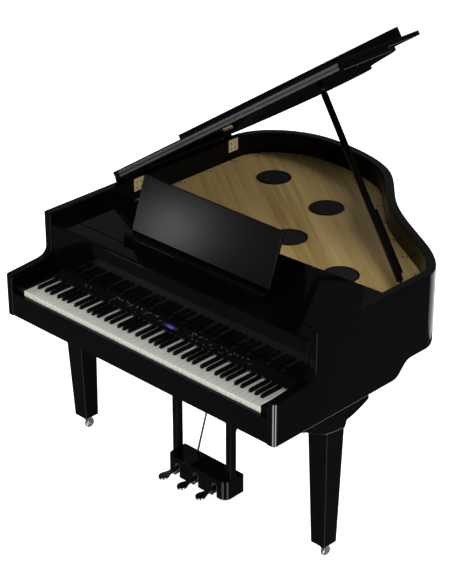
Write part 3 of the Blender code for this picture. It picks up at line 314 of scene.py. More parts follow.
LID_OPEN = math.radians(33.6)
brass = metal("brass", (0.40, 0.31, 0.17), (0.62, 0.50, 0.29), 0.24, (900.0, 60.0, 900.0), metallic=0.45)
BRUSHING = {"roughness": 0.34, "stretch": (9.0, 700.0, 700.0), "depth": 0.000008, "metallic": 0.35,
            "tilt": LID_OPEN}
brushed = metal("steel", (0.040, 0.040, 0.042), (0.072, 0.072, 0.075), **BRUSHING)
barrel_steel = metal("steel_barrel", (0.010, 0.010, 0.011), (0.020, 0.020, 0.021), **BRUSHING)
chrome = metal("steel_plated", (0.52, 0.52, 0.53), (0.74, 0.74, 0.75), 0.05, (40.0, 40.0, 40.0), 0.000005)
pedal_plate = metal("pedal_plate", (0.15, 0.15, 0.155), (0.25, 0.25, 0.255), 0.07, (40.0, 40.0, 40.0), 0.000005)

# %% [markdown]
# Cloth and felt. Speaker cloth is a plain weave: threads pass over and under in two directions, which two
# sine waves at right angles imitate. Felt is pressed wool with no direction, so plain noise makes it.

# %% Speaker cloth and felt
THREAD = 0.0011


def weave(name, dark, light):
    recipe = Recipe(name)
    x, y, _ = recipe.axes(recipe.place())
    warp = (x * (math.pi / THREAD)).wave()
    weft = (y * (math.pi / THREAD)).wave()
    over = warp * weft * 0.5 + 0.5
    lint = recipe.noise(recipe.place(), 900.0, 2.0)
    return recipe.finish(
        Base_Color=(over * 0.7 + lint * 0.3).tint(dark, light),
        Roughness=lint * 0.2 + 0.75,
        Specular_IOR_Level=0.2,
        Normal=recipe.bump(over, 0.0004, 0.8),
    )


def felt(name, dark, light):
    recipe = Recipe(name)
    fuzz = recipe.noise(recipe.place(), 1400.0, 4.0, 0.7)
    patch = recipe.noise(recipe.place(), 120.0, 2.0)
    return recipe.finish(
        Base_Color=(fuzz * 0.6 + patch * 0.4).tint(dark, light),
        Roughness=fuzz * 0.1 + 0.88,
        Sheen_Weight=0.4,
        Specular_IOR_Level=0.1,
        Normal=recipe.bump(fuzz, 0.0005, 0.8),
    )


cloth = weave("speaker_cloth", (0.0045, 0.0048, 0.0058), (0.0150, 0.0156, 0.0180))
red_felt = felt("red_felt", (0.026, 0.003, 0.004), (0.075, 0.007, 0.010))
strip_felt = felt("strip_felt", (0.009, 0.002, 0.002), (0.026, 0.004, 0.005))

# %% [markdown]
# Small plastic parts and lights. A moulded button has a spark-eroded texture, a fine even grain. The
# display is a dark blue window behind which dots and bars glow. The marks beside the buttons are bars and
# dots in pale grey.

# %% Plastic, print and light
def moulded(name, dark, light, roughness):
    recipe = Recipe(name)
    pits = recipe.noise(recipe.place(), 2600.0, 2.0)
    tone = recipe.noise(recipe.place(), 90.0, 2.0)
    return recipe.finish(
        Base_Color=tone.tint(dark, light),
        Roughness=pits * 0.12 + roughness,
        Specular_IOR_Level=0.35,
        Normal=recipe.bump(pits, 0.00004, 0.5),
    )


def glowing(name, dark, light, cell, share, strength, middle, reach):
    """A lit surface: cells of which a share glows. The light fades out at a distance from the middle."""
    recipe = Recipe(name)
    x, y, _ = recipe.axes(recipe.place((1.0 / cell[0], 1.0 / cell[1], 1.0)))
    cells = recipe.node("CombineXYZ", None, {0: x.floor(), 1: y.floor()})
    lot = recipe.node("TexWhiteNoise", {"noise_dimensions": "2D"}, {"Vector": cells})
    inside_x = (x - x.floor() - 0.5).size()
    inside_y = (y - y.floor() - 0.5).size()
    dot = (1.0 - inside_x.between(0.34, 0.46)) * (1.0 - inside_y.between(0.34, 0.46))
    lit = dot * lot.between(1.0 - share - 0.02, 1.0 - share)
    along, _, _ = recipe.axes(recipe.place())
    near = 1.0 - (along - middle).size().between(reach * 0.6, reach)
    colour = near.tint((0.0, 0.0, 0.0), lit.tint(dark, light))
    return recipe.finish(Base_Color=lit.tint((0.004, 0.004, 0.01), (0.02, 0.02, 0.06)), Emission_Color=colour,
                         Emission_Strength=strength, Roughness=0.12, Specular_IOR_Level=0.4)


button_black = moulded("button_black", (0.006, 0.006, 0.006), (0.014, 0.014, 0.015), 0.42)
printed = moulded("printed_mark", (0.24, 0.25, 0.26), (0.40, 0.41, 0.43), 0.55)
rubber = moulded("wheel_black", (0.010, 0.010, 0.011), (0.022, 0.022, 0.023), 0.5)
display = glowing("display", (0.012, 0.014, 0.17), (0.16, 0.18, 0.85), (0.0024, 0.0018), 0.40, 1.0,
                  middle_of("display_window").x, 0.021)
pilot = glowing("pilot_light", (0.42, 0.45, 0.55), (0.95, 1.0, 1.1), (0.0006, 0.0006), 0.6, 0.6, 0.0, 3.0)
print("finishes:", len(bpy.data.materials))

# %% [markdown]
# Next come the helpers that make and place pieces. A new piece takes a finish, the body that it moves
# with and the solid that it stands for. The solids have dead sharp edges, and no lacquered edge is: it is
# sanded to a radius of a millimetre or more, and that radius is what draws the bright lines round a black
# piano. So most pieces start as a copy of the solid with its edges rounded.

# %% Making and placing pieces
MERGE = 0.00001
FLAT = math.radians(0.15)
SHARP = math.radians(28.0)


def piece_from(name, shape):
    """An object from a finished bmesh."""
    mesh = bpy.data.meshes.new(name)
    shape.to_mesh(mesh)
    shape.free()
    piece = bpy.data.objects.new(name, mesh)
    bpy.context.scene.collection.objects.link(piece)
    return piece


def place(piece, look, node=None, body=None):
    """Gives a piece its finish, the body that it rides on and the solid that it stands for."""
    piece.data.materials.clear()
    piece.data.materials.append(look)
    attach(piece, body or body_of[node])
    if node:
        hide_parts(node)
    return piece


def round_edges(piece, width, segments=3):
    """Rounds the sharp edges, and evens the light over the flat faces between them."""
    piece.data.shade_smooth()
    bevel = piece.modifiers.new("round_edges", "BEVEL")
    bevel.width = width
    bevel.segments = segments
    bevel.limit_method = "ANGLE"
    bevel.angle_limit = SHARP
    bevel.miter_outer = "MITER_ARC"
    even = piece.modifiers.new("even_light", "WEIGHTED_NORMAL")
    even.keep_sharp = True
    return piece


def solid_shape(node):
    """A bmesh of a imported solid, with the triangles of each flat face merged into one face."""
    shape = bmesh.new()
    shape.from_mesh(frame["nodes"][node].data)
    bmesh.ops.remove_doubles(shape, verts=shape.verts, dist=MERGE)
    bmesh.ops.dissolve_limit(shape, angle_limit=FLAT, verts=shape.verts, edges=shape.edges)
    return shape


def softened(node, look, width, segments=3, prepare=None):
    """A copy of a solid with rounded edges, which stands for it. What prepare does comes first."""
    shape = solid_shape(node)
    if prepare:
        prepare(shape)
    piece = piece_from(node + "_finished", shape)
    return place(round_edges(piece, width, segments), look, node)


def loft(shape, rings):
    """Adds a closed body to a bmesh: a skin over rings of points, and a cap at each end."""
    rings = [[shape.verts.new(spot) for spot in ring] for ring in rings]
    faces = [shape.faces.new(rings[0]), shape.faces.new(rings[-1])]
    for low, high in zip(rings, rings[1:]):
        for step in range(len(low)):
            after = (step + 1) % len(low)
            faces.append(shape.faces.new((low[step], low[after], high[after], high[step])))
    bmesh.ops.recalc_face_normals(shape, faces=faces)


def rectangle(x, y):
    """The corners of a rectangle between two numbers in each direction."""
    return [(x[0], y[0]), (x[1], y[0]), (x[1], y[1]), (x[0], y[1])]


def slab(shape, plan, low, high):
    """Adds a flat closed slab with a given plan to a bmesh."""
    lower, upper = ([shape.verts.new((x, y, z)) for x, y in plan] for z in (low, high))
    shape.faces.new(upper)
    shape.faces.new(lower[::-1])
    for step in range(len(plan)):
        after = (step + 1) % len(plan)
        shape.faces.new((lower[step], lower[after], upper[after], upper[step]))


def lathe(shape, profile, centre, up, sides):
    """Adds a turned body to a bmesh: rings of (radius, height) round an axis through the centre."""
    turn = Vector(up).to_track_quat("Z", "Y").to_matrix()
    rings = []
    for radius, height in profile:
        if radius < MERGE:
            rings.append([shape.verts.new(Vector(centre) + turn @ Vector((0, 0, height)))])
            continue
        ring = []
        for step in range(sides):
            angle = 2 * math.pi * step / sides
            spot = Vector((radius * math.cos(angle), radius * math.sin(angle), height))
            ring.append(shape.verts.new(Vector(centre) + turn @ spot))
        rings.append(ring)
    for low, high in zip(rings, rings[1:]):
        for step in range(sides):
            after = (step + 1) % sides
            unique = list(dict.fromkeys((low[step % len(low)], low[after % len(low)],
                                         high[after % len(high)], high[step % len(high)])))
            if len(unique) > 2:
                shape.faces.new(unique)


def screw_head(shape, centre, up, radius, rise):
    """A domed screw head with a round recess, as a closed turned body."""
    profile = [(0.0, -0.0003), (radius, -0.0003), (radius, rise * 0.3), (radius * 0.8, rise * 0.8),
               (radius * 0.42, rise), (radius * 0.30, rise * 0.25), (0.0, rise * 0.2)]
    lathe(shape, profile, centre, up, 20)


def tidy(piece, angle=SHARP):
    piece.data.shade_smooth()
    piece.data.set_sharp_from_angle(angle=angle)
    return piece


# %% [markdown]
# The case. Its side is one strip of laminated wood bent round a form, so its edges are rounded but its
# faces have to stay clean for the reflections. The boards of the case, the fallboard, the lid and the
# legs are lacquered the same way and only differ in how far their edges are rounded.

# %% The lacquered pieces
LACQUERED = {
    "rim": 0.0030, "key_slip": 0.0022, "key_block_left": 0.0020, "key_block_right": 0.0020,
    "control_panel": 0.0006, "fallboard": 0.0020, "fallboard_lip": 0.0022, "front_top_board": 0.0022,
    "desk_ledge": 0.0016, "lid_main": 0.0022, "lid_flap": 0.0022, "prop": 0.0016, "half_prop": 0.0014,
    "leg_rear": 0.0026, "lyre": 0.0022,
}
ARM_CORNER = 0.0145
SQUARE_ON = 0.9995


def round_arm_corners(shape):
    """Rounds the upright front corners of the case's two arms, whose radius shows as a bright band."""
    low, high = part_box("rim")
    front = [edge for edge in shape.edges if all(v.co.y < low.y + MERGE for v in edge.verts)]
    corners = [edge for edge in front if all(v.co.x > high.x - MERGE for v in edge.verts)
               or all(v.co.x < low.x + MERGE for v in edge.verts)]
    bmesh.ops.bevel(shape, geom=corners, offset=ARM_CORNER, segments=10, profile=0.5, affect="EDGES")
    print("rounded corner edges:", len(corners))


def burnish_arm_corners(rim):
    """Gives the two rounded corners a shinier lacquer, so that their thin bright lines show from afar."""
    low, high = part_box("rim")
    rim.data.materials.append(burnished)
    for face in rim.data.polygons:
        at_front = face.center.y < low.y + ARM_CORNER
        at_side = face.center.x > high.x - ARM_CORNER or face.center.x < low.x + ARM_CORNER
        turning = max(abs(part) for part in face.normal) < SQUARE_ON and abs(face.normal.z) < 0.1
        face.material_index = 1 if at_front and at_side and turning else 0
    print("burnished faces:", sum(face.material_index for face in rim.data.polygons))


for node, width in LACQUERED.items():
    prepare = round_arm_corners if node == "rim" else None
    made = softened(node, polished, width, prepare=prepare)
    if node == "rim":
        burnish_arm_corners(made)
softened("music_desk", desk_black, 0.0024)
softened("bottom_board", painted, 0.0012, 2)
print("lacquered pieces:", len(LACQUERED) + 2)

# %% [markdown]
# A front leg is two pieces of joinery: a bracket cut from thick board, and a square leg that narrows to
# its foot and is glued up under it. The leg stands a little inside the bracket, so that the bracket's
# lower edge catches the light as a line.

# %% The front legs
LEG_INSET = 0.0013
LEG_REACH = 0.590
LEG_EDGE = 0.0024
BRACKET_DEPTH = 0.1
FRONT_JOINS_AT = 0.5700


def make_leg(node):
    low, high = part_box(node)
    spots = [v.co for v in frame["nodes"][node].data.vertices]
    foot = [spot for spot in spots if spot.z < low.z + MERGE]
    outline = sorted({(round(spot.y, 5), round(spot.z, 5)) for spot in spots
                      if spot.x > high.x - 10 * MERGE and spot.z > LEG_REACH - BRACKET_DEPTH})
    under = min(outline, key=lambda spot: spot[1])
    front = min(outline, key=lambda spot: abs(spot[1] - FRONT_JOINS_AT))
    top = (low.x + LEG_INSET, high.x - LEG_INSET), (front[0] + LEG_INSET, under[0] - LEG_INSET)
    feet = [(min(s[axis] for s in foot), max(s[axis] for s in foot)) for axis in (0, 1)]
    parts = {
        "_bracket": [[(x, y, z) for y, z in outline] for x in (low.x, high.x)],
        "_shaft": [[(x, y, z) for x, y in rectangle(*sides)] for sides, z in ((feet, low.z), (top, LEG_REACH))],
    }
    for ending, rings in parts.items():
        shape = bmesh.new()
        loft(shape, rings)
        place(round_edges(piece_from(node + ending, shape), LEG_EDGE), polished, node)
    print(node, "foot", [round(side[1] - side[0], 3) for side in feet])


for node in ("leg_left", "leg_right"):
    make_leg(node)

# %% [markdown]
# The soundboard lies inside the rim, and small dark screws hold it along its edge, two and two. They could
# be set by hand, but the edge is a long curve, so the script walks along it and sets a pair at each step.

# %% The soundboard and its screws
SCREW_INSET = 0.016
SCREW_SPACING = 0.150
SCREW_SHIFT = Vector((0.0075, 0.0045, 0.0))
SCREW_SEAT = Vector((0.0, 0.0, 0.0003))
UNDER_DESK = 0.020


def board_edge(node):
    """The outer edge of a flat board's top face, as a list of points in order."""
    shape = solid_shape(node)
    top = max((face for face in shape.faces if face.normal.z > 0.9), key=lambda face: face.calc_area())
    high = top.calc_center_median().z
    rim_edges = [edge for edge in shape.edges
                 if all(abs(v.co.z - high) < MERGE * 5 for v in edge.verts)
                 and any(abs(face.normal.z) < 0.5 for face in edge.link_faces)]
    follow = {}
    for edge in rim_edges:
        one, two = edge.verts
        follow.setdefault(one, []).append(two)
        follow.setdefault(two, []).append(one)
    here, loop = max(follow, key=lambda v: v.co.y), []
    while here not in loop:
        loop.append(here)
        here = next((v for v in follow[here] if v not in loop), loop[0])
    points = [v.co.copy() for v in loop]
    shape.free()
    return points


def along_edge(points, spacing, inset):
    """Evenly spaced places just inside a closed loop of points."""
    middle = sum(points, Vector()) / len(points)
    places, left = [], spacing
    for one, two in zip(points, points[1:] + points[:1]):
        length = (two - one).length
        gone = 0.0
        while length - gone > left:
            gone += left
            left = spacing
            spot = one.lerp(two, gone / length)
            inward = (two - one).cross(Vector((0, 0, 1))).normalized()
            if inward.dot(middle - spot) < 0:
                inward.negate()
            places.append(spot + inward * inset)
        left -= length - gone
    return places


softened("soundboard", spruce, 0.0010, 2)
desk_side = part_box("front_top_board")[1].y
screws = bmesh.new()
for spot in along_edge(board_edge("soundboard"), SCREW_SPACING, SCREW_INSET):
    if spot.y > desk_side - UNDER_DESK:
        for side in (-1, 1):
            screw_head(screws, spot + SCREW_SHIFT * side + SCREW_SEAT, (0, 0, 1), 0.0040, 0.0016)
place(tidy(piece_from("soundboard_screws", screws)), rubber, body="case")

# %% [markdown]
# Each speaker sits under a round grille: a moulded ring, with cloth stretched over a shallow frame.
# A flat disc would look like a hole, so the ring stands proud and the cloth bows up a little inside it.

# %% Speaker grilles
SPEAKER_RING = 0.006


def speaker(number):
    node = f"speaker_grille_{number}"
    low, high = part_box(node)
    reach = (high.x - low.x) / 2
    base = middle_of(node)
    base.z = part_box("soundboard")[1].z + 0.0003
    rise = high.z - base.z
    inner = reach - SPEAKER_RING
    ring = bmesh.new()
    profile = [(reach - 0.0005, 0.0), (reach, rise * 0.35), (reach - 0.0008, rise * 0.85),
               (reach - 0.0022, rise), (inner + 0.0012, rise * 0.95), (inner, rise * 0.5), (inner, 0.0),
               (reach - 0.0005, 0.0)]
    lathe(ring, profile, base, (0, 0, 1), 72)
    ring_piece = tidy(piece_from(f"speaker_ring_{number}", ring), math.radians(50.0))
    place(ring_piece, painted, body="case")
    dome = bmesh.new()
    steps = 10
    bowed = [(inner * step / steps, rise * (0.30 + 0.28 * (1 - (step / steps) ** 2)))
             for step in range(steps, -1, -1)]
    lathe(dome, [(0.0, 0.0), (inner, 0.0)] + bowed, base, (0, 0, 1), 64)
    place(tidy(piece_from(f"speaker_cloth_{number}", dome)), cloth, node)


for number in range(1, 5):
    speaker(number)

# %% [markdown]
# The keyboard is what a pianist looks at, so each key is made on its own. A white key has a thin top with
# a rounded front lip that stands a little proud of the key's face, and its tail narrows to pass between
# the sharps. A sharp is a bar with a sloped nose and sides that lean in. The seven loose keys in the middle
# get the same shapes, but ride on their own pivots.

# %% Key shapes
WHITE_KEYS = 52
WHITE_PITCH = 0.02356
KEY_GAP = 0.0010
SHARP_WIDTH = 0.0130
SHARP_SHIFT = {"C": -0.0032, "D": 0.0032, "F": -0.0042, "G": 0.0, "A": 0.0042}
SHARP_FRONT = 0.0490
SHARP_BACK = 0.1440
SHARP_RISE = 0.0126
KEY_TOP_SKIN = 0.0024
KEY_LIP = 0.0007
MIDDLE_X = middle_of("key_frame").x
(_, KEY_FRONT, KEY_BOTTOM), (_, KEY_BACK, KEY_TOP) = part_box("key_D4")


def letter(index):
    return "ABCDEFG"[index % 7]


def white_middle(index):
    return MIDDLE_X + (index - (WHITE_KEYS - 1) / 2) * WHITE_PITCH


def sharp_middle(index):
    if not 0 <= index < WHITE_KEYS - 1 or letter(index) not in SHARP_SHIFT:
        return None
    return white_middle(index) + WHITE_PITCH / 2 + SHARP_SHIFT[letter(index)]


def add_white_key(shape, index):
    half = (WHITE_PITCH - KEY_GAP) / 2
    left, right = white_middle(index) - half, white_middle(index) + half
    room = SHARP_WIDTH / 2 + KEY_GAP
    below, above = sharp_middle(index - 1), sharp_middle(index)
    tail_left = left if below is None else below + room
    tail_right = right if above is None else above - room
    notch = KEY_FRONT + SHARP_FRONT - KEY_GAP

    def plan(front, trim):
        points = [(left + trim, front), (right - trim, front)]
        if above is not None:
            points += [(right - trim, notch - trim), (tail_right - trim, notch - trim)]
        points += [(tail_right - trim, KEY_BACK - trim), (tail_left + trim, KEY_BACK - trim)]
        if below is not None:
            points += [(tail_left + trim, notch - trim), (left + trim, notch - trim)]
        return points

    top = bmesh.new()
    slab(top, plan(KEY_FRONT, 0.0), KEY_TOP - KEY_TOP_SKIN, KEY_TOP)
    edges = [edge for edge in top.edges if all(v.co.z > KEY_TOP - MERGE for v in edge.verts)]
    edges += [edge for edge in top.edges if all(v.co.y < KEY_FRONT + MERGE for v in edge.verts)
              and abs(edge.verts[0].co.z - edge.verts[1].co.z) > MERGE]
    bmesh.ops.bevel(top, geom=edges, offset=KEY_LIP, segments=2, profile=0.5, affect="EDGES",
                    clamp_overlap=True)
    slab(top, plan(KEY_FRONT + 0.0012, 0.00025), KEY_BOTTOM, KEY_TOP - KEY_TOP_SKIN + 0.0002)
    mesh = bpy.data.meshes.new("one_key")
    top.to_mesh(mesh)
    top.free()
    shape.from_mesh(mesh)
    bpy.data.meshes.remove(mesh)


def add_sharp(shape, index):
    middle = sharp_middle(index)
    top = KEY_TOP + SHARP_RISE
    nose = KEY_FRONT + SHARP_FRONT
    back = KEY_FRONT + SHARP_BACK
    base = SHARP_WIDTH / 2 - 0.0002
    sections = [
        (nose + 0.0002, KEY_TOP + 0.0015, 0.90), (nose + 0.0010, KEY_TOP + 0.0050, 0.88),
        (nose + 0.0030, top - 0.0026, 0.86), (nose + 0.0060, top - 0.0009, 0.84),
        (nose + 0.0100, top - 0.0002, 0.83), (back - 0.0050, top, 0.83), (back, top - 0.0006, 0.83),
    ]
    rings = []
    for y, height, share in sections:
        wide = base * share
        half = [(base, KEY_BOTTOM), (base, KEY_TOP), (wide, height - 0.0014), (wide - 0.0005, height - 0.0004),
                (wide - 0.0015, height)]
        ring = half + [(-x, z) for x, z in reversed(half)]
        rings.append([(middle + x, y, z) for x, z in ring])
    loft(shape, rings)
    slab(shape, rectangle((middle - base, middle + base), (back, KEY_BACK)), KEY_BOTTOM, KEY_TOP - KEY_GAP)


# %% The 88 keys
LOOSE = range(23, 27)


def key_name(index, sharp):
    return f"key_{letter(index)}{'S' if sharp else ''}{(index + 5) // 7}"


def make_keys():
    still = {False: bmesh.new(), True: bmesh.new()}
    for index in range(WHITE_KEYS):
        for sharp in (False, True):
            if sharp and sharp_middle(index) is None:
                continue
            add = add_sharp if sharp else add_white_key
            if index in LOOSE:
                shape = bmesh.new()
                add(shape, index)
                node = key_name(index, sharp)
                look, slot = (sharp_black, "key_black") if sharp else (ivory, "key_ivory")
                place(tidy(piece_from(node + "_finished", shape)), look, node)
            else:
                add(still[sharp], index)
    place(tidy(piece_from("white_keys", still[False])), ivory, "key_frame")
    place(tidy(piece_from("black_keys", still[True])), sharp_black, "key_frame")


make_keys()

# %% [markdown]
# The keys rest on a frame of painted rails. A strip of red felt behind them stops them from clacking
# against the panel, and shows in the gap in front of it.

# %% Key frame and felt
RAIL_SETBACK = 0.0035
RAIL_RISE = 0.012
deck_low, deck_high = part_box("key_frame")
rails = bmesh.new()
slab(rails, rectangle((deck_low.x, deck_high.x), (deck_low.y + RAIL_SETBACK, deck_high.y)),
     deck_low.z, deck_low.z + RAIL_RISE)
place(round_edges(piece_from("key_frame_rails", rails), 0.0010, 2), painted, "key_frame")
softened("nameboard_felt", strip_felt, 0.0005, 2)

# %% [markdown]
# The control panel is a sloped strip. Its buttons are small bars, its two knobs are turned and knurled,
# and between them a lit window shows the settings. Beside each button stands a pilot light.

# %% Panel, buttons and knobs
SLOPE = math.atan2(0.020, 0.038)
panel_face = Matrix.Rotation(SLOPE, 3, "X")
panel_point = middle_of("display_window")
MARK_RISE = 0.00015


def on_panel(x, up, rise):
    """A point on the panel's sloped face: across, up the slope and above the face."""
    return Vector((x, panel_point.y, panel_point.z)) + panel_face @ Vector((0.0, up, rise))


def panel_bar(shape, x, up, wide, deep, rise=MARK_RISE):
    """Adds a thin bar that lies on the sloped face."""
    plan = rectangle((x - wide / 2, x + wide / 2), (up - deep / 2, up + deep / 2))
    loft(shape, [[on_panel(across, along, z) for across, along in plan] for z in (-0.0001, rise)])


MARK_ROWS = ((0.0155, 0.0012), (0.0120, 0.0006), (-0.0085, 0.0009))
MARK_GROUPS = ((-0.300, -0.055), (0.105, 0.405))
MARK_STEP = 0.0125
KNOB_TEETH = 24
KNOB_GRIP = 0.0054


def scatter_marks(prints, lights):
    """Bars of uneven length over and under the buttons, with a small lamp after some of them."""
    chance = random.Random(11)
    for start, end in MARK_GROUPS:
        for up, deep in MARK_ROWS:
            x = start
            while x < end:
                wide = chance.uniform(0.0015, 0.0045)
                if chance.random() < 0.55:
                    panel_bar(prints, x, up, wide, deep)
                if chance.random() < 0.30:
                    panel_bar(lights, x + wide / 2 + 0.0022, up, 0.0019, 0.0019, 0.0004)
                x += MARK_STEP * chance.uniform(0.8, 1.3)


def make_panel():
    prints, lights = bmesh.new(), bmesh.new()
    scatter_marks(prints, lights)
    for number in range(1, 9):
        node = f"button_{number}"
        softened(node, button_black, 0.0007)
        x = middle_of(node).x
        panel_bar(prints, x - 0.002, 0.0052, 0.006, 0.0008)
        panel_bar(lights, x + 0.0055, 0.0053, 0.0016, 0.0016, 0.0004)
    place(piece_from("panel_marks", prints), printed, body="case")
    place(piece_from("pilot_lights", lights), pilot, body="case")


def make_knob(node):
    x = middle_of(node).x
    up = panel_face @ Vector((0, 0, 1))
    shape = bmesh.new()
    for step in range(KNOB_TEETH):
        angle = 2 * math.pi * step / KNOB_TEETH
        spot = on_panel(x + KNOB_GRIP * math.cos(angle), KNOB_GRIP * math.sin(angle), 0.0)
        lathe(shape, [(0.0, 0.0007), (0.00045, 0.0007), (0.00035, 0.0082), (0.0, 0.0082)], spot, up, 6)
    body = [(0.0, 0.0004), (0.0056, 0.0004), (0.0055, 0.0070), (0.0050, 0.0088), (0.0043, 0.0092),
            (0.0, 0.0092)]
    lathe(shape, body, on_panel(x, 0.0, 0.0), up, 48)
    place(tidy(piece_from(node + "_finished", shape)), button_black, node)
    pointer = bmesh.new()
    lathe(pointer, [(0.0, 0.0090), (0.0008, 0.0090), (0.0008, 0.0094), (0.0, 0.0094)],
          on_panel(x, 0.0030, 0.0), up, 12)
    place(tidy(piece_from(node + "_pointer", pointer)), printed, body=body_of[node])


make_panel()
for node in ("volume_knob", "brilliance_knob"):
    make_knob(node)
softened("display_window", display, 0.0003, 2)
print("panel slope", round(math.degrees(SLOPE), 1))

# %% [markdown]
# Hinges. The flap turns on a hinge as long as the lid is wide, whose two leaves are the grey strips on the
# edges of the panels. A leaf is a plain plate, so the solid is kept and only its screws and its barrel are
# worked out here: the barrel lies in its own shade, so it gets a darker steel.

# %% Hinges and their screws
LEAF_SCREW_SPACING = 0.080
LEAF_SCREW_SEAT = 0.0006
LEAF_FACE = Vector((0.0, -1.0, 0.0))
PLATE_DEPTH = 0.0016


def leaf_screws(node):
    """A row of screw heads along a long leaf."""
    solid = frame["nodes"][node].data
    middle = sum((v.co for v in solid.vertices), Vector()) / len(solid.vertices)
    reach = [v.co - middle for v in solid.vertices]
    along = max(reach, key=lambda v: v.length).normalized()
    half = max(v.dot(along) for v in reach)
    shape = bmesh.new()
    count = int(2 * half / LEAF_SCREW_SPACING)
    for step in range(count):
        spot = middle + along * (-half + (step + 0.5) * 2 * half / count)
        screw_head(shape, spot + LEAF_FACE * LEAF_SCREW_SEAT, LEAF_FACE, 0.0022, 0.0003)
    place(tidy(piece_from(node + "_screws", shape)), chrome, body=body_of[node])


def darken_barrel(piece, node):
    """Gives the hinge's round barrel a darker steel, because it lies in its own shade."""
    depths = [v.co.y for v in frame["nodes"][node].data.vertices]
    plate_front = max(depths) - PLATE_DEPTH
    piece.data.materials.append(barrel_steel)
    for face in piece.data.polygons:
        face.material_index = 1 if face.center.y < plate_front else 0
    print(node, "barrel reaches", round((plate_front - min(depths)) * 1000, 1), "mm out")


for node in ("lid_hinge_leaf", "flap_hinge_leaf"):
    leaf = softened(node, brushed, 0.0003, 2)
    leaf_screws(node)
    if node == "lid_hinge_leaf":
        darken_barrel(leaf, node)
softened("prop_bracket", brass, 0.0004, 2)

# %% [markdown]
# The lid turns on two brass hinges. One leaf is screwed to the inside of the rim, and the other, painted
# black, to the lid. Between the hinges a lid's edge would let the light through, so a round bead runs
# along the turning line and closes it. It turns in place, because its middle is the hinge's own axis, and
# it sinks a little into the rim's top edge.

# %% Brass hinges, lid leaves and the bead along the turning line
KNUCKLE_RADIUS = 0.0034
HINGE_AXIS = Vector((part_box("hinge_front")[0].x + KNUCKLE_RADIUS, 0.0,
                     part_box("hinge_front")[1].z - KNUCKLE_RADIUS))
BEAD_RADIUS = 0.0063
BEAD_GAP = 0.0010
BEAD_EDGE = 0.0006
LEAF_ACROSS = (0.0060, 0.0105)
LEAF_THICKNESS = 0.0006
BRASS_DEPTH = 0.004
BRASS_DROP = 0.006
lid_along = Vector((math.cos(LID_OPEN), 0.0, math.sin(LID_OPEN)))
lid_under = Vector((math.sin(LID_OPEN), 0.0, -math.cos(LID_OPEN)))


def under_lid(across, y, drop=0.0):
    """A point on the open lid's lower face: across from the turning line, and a drop below the face."""
    return Vector((HINGE_AXIS.x, y, HINGE_AXIS.z)) + lid_along * across + lid_under * drop


def make_hinge(node):
    low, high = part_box(node)
    hinge = softened(node, brass, 0.0005, 2)
    hinge.data.materials.append(painted)
    for face in hinge.data.polygons:
        inner = face.center.x > high.x - BRASS_DEPTH and face.center.z < high.z - BRASS_DROP
        face.material_index = 0 if inner else 1
    screws = bmesh.new()
    for y in (low.y + 0.016, high.y - 0.016):
        for z in (low.z + 0.014, low.z + 0.036):
            screw_head(screws, (high.x + 0.0002, y, z), (1, 0, 0), 0.0038, 0.0009)
    place(tidy(piece_from(node + "_screws", screws)), chrome, body="case")
    plate = bmesh.new()
    loft(plate, [[under_lid(across, y, drop) for across, y in rectangle(LEAF_ACROSS, (low.y, high.y))]
                 for drop in (-0.0004, LEAF_THICKNESS)])
    place(piece_from(node + "_lid_leaf", plate), painted, body="lid")


def make_bead():
    front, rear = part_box("hinge_front"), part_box("hinge_rear")
    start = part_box("lid_main")[0].y + 0.004
    pieces = ((start, front[0].y), (front[1].y, rear[0].y))
    for number, (low, high) in enumerate(pieces, 1):
        length = high - low - 2 * BEAD_GAP
        shape = bmesh.new()
        profile = [(0.0, 0.0), (BEAD_RADIUS - BEAD_EDGE, 0.0), (BEAD_RADIUS, BEAD_EDGE),
                   (BEAD_RADIUS, length - BEAD_EDGE), (BEAD_RADIUS - BEAD_EDGE, length), (0.0, length)]
        lathe(shape, profile, (HINGE_AXIS.x, low + BEAD_GAP, HINGE_AXIS.z), (0, 1, 0), 24)
        place(tidy(piece_from(f"lid_bead_{number}", shape)), painted, body="lid")


for node in ("hinge_front", "hinge_rear"):
    make_hinge(node)
make_bead()
print("lid turns at", [round(c, 4) for c in HINGE_AXIS])

# %% [markdown]
# The prop is a flat stick with rounded edges. At its top a pin goes into a socket under the lid, and a
# shouldered head hides the pin, so the stick seems to run right up to the lid. The socket is a turned
# ring on a small plate, painted black like the lid.

# %% The prop's head and its socket
HEAD_START = 0.036
HEAD_END = 0.0095
HEAD_SHOULDER = 0.006
HEAD_TAPER = 0.72
TIP_DEPTH = 0.0008
HEAD_WIDTH = 0.0238
HEAD_THICKNESS = 0.0158


def prop_line():
    """The prop's foot, its tip, and the directions along it and across its broad face."""
    foot = middle_of("prop_bracket")
    foot.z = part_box("prop_bracket")[1].z
    spots = [v.co for v in frame["nodes"]["prop"].data.vertices]
    far = max((spot - foot).length for spot in spots)
    ends = [spot for spot in spots if (spot - foot).length > far - TIP_DEPTH]
    tip = sum(ends, Vector()) / len(ends)
    along = (tip - foot).normalized()
    side = along.cross(Vector((0, 0, 1))).normalized()
    return tip, along, side, along.cross(side)


def make_prop_head():
    tip, along, side, face = prop_line()
    wide, thick = (-HEAD_WIDTH / 2, HEAD_WIDTH / 2), (-HEAD_THICKNESS / 2, HEAD_THICKNESS / 2)
    rings = [[tip - along * back + (side * a + face * b) * share for a, b in rectangle(wide, thick)]
             for back, share in ((HEAD_START, 1.0), (HEAD_END + HEAD_SHOULDER, 1.0), (HEAD_END, HEAD_TAPER))]
    shape = bmesh.new()
    loft(shape, rings)
    place(round_edges(piece_from("prop_head", shape), 0.0016), polished, body="prop")
    return tip


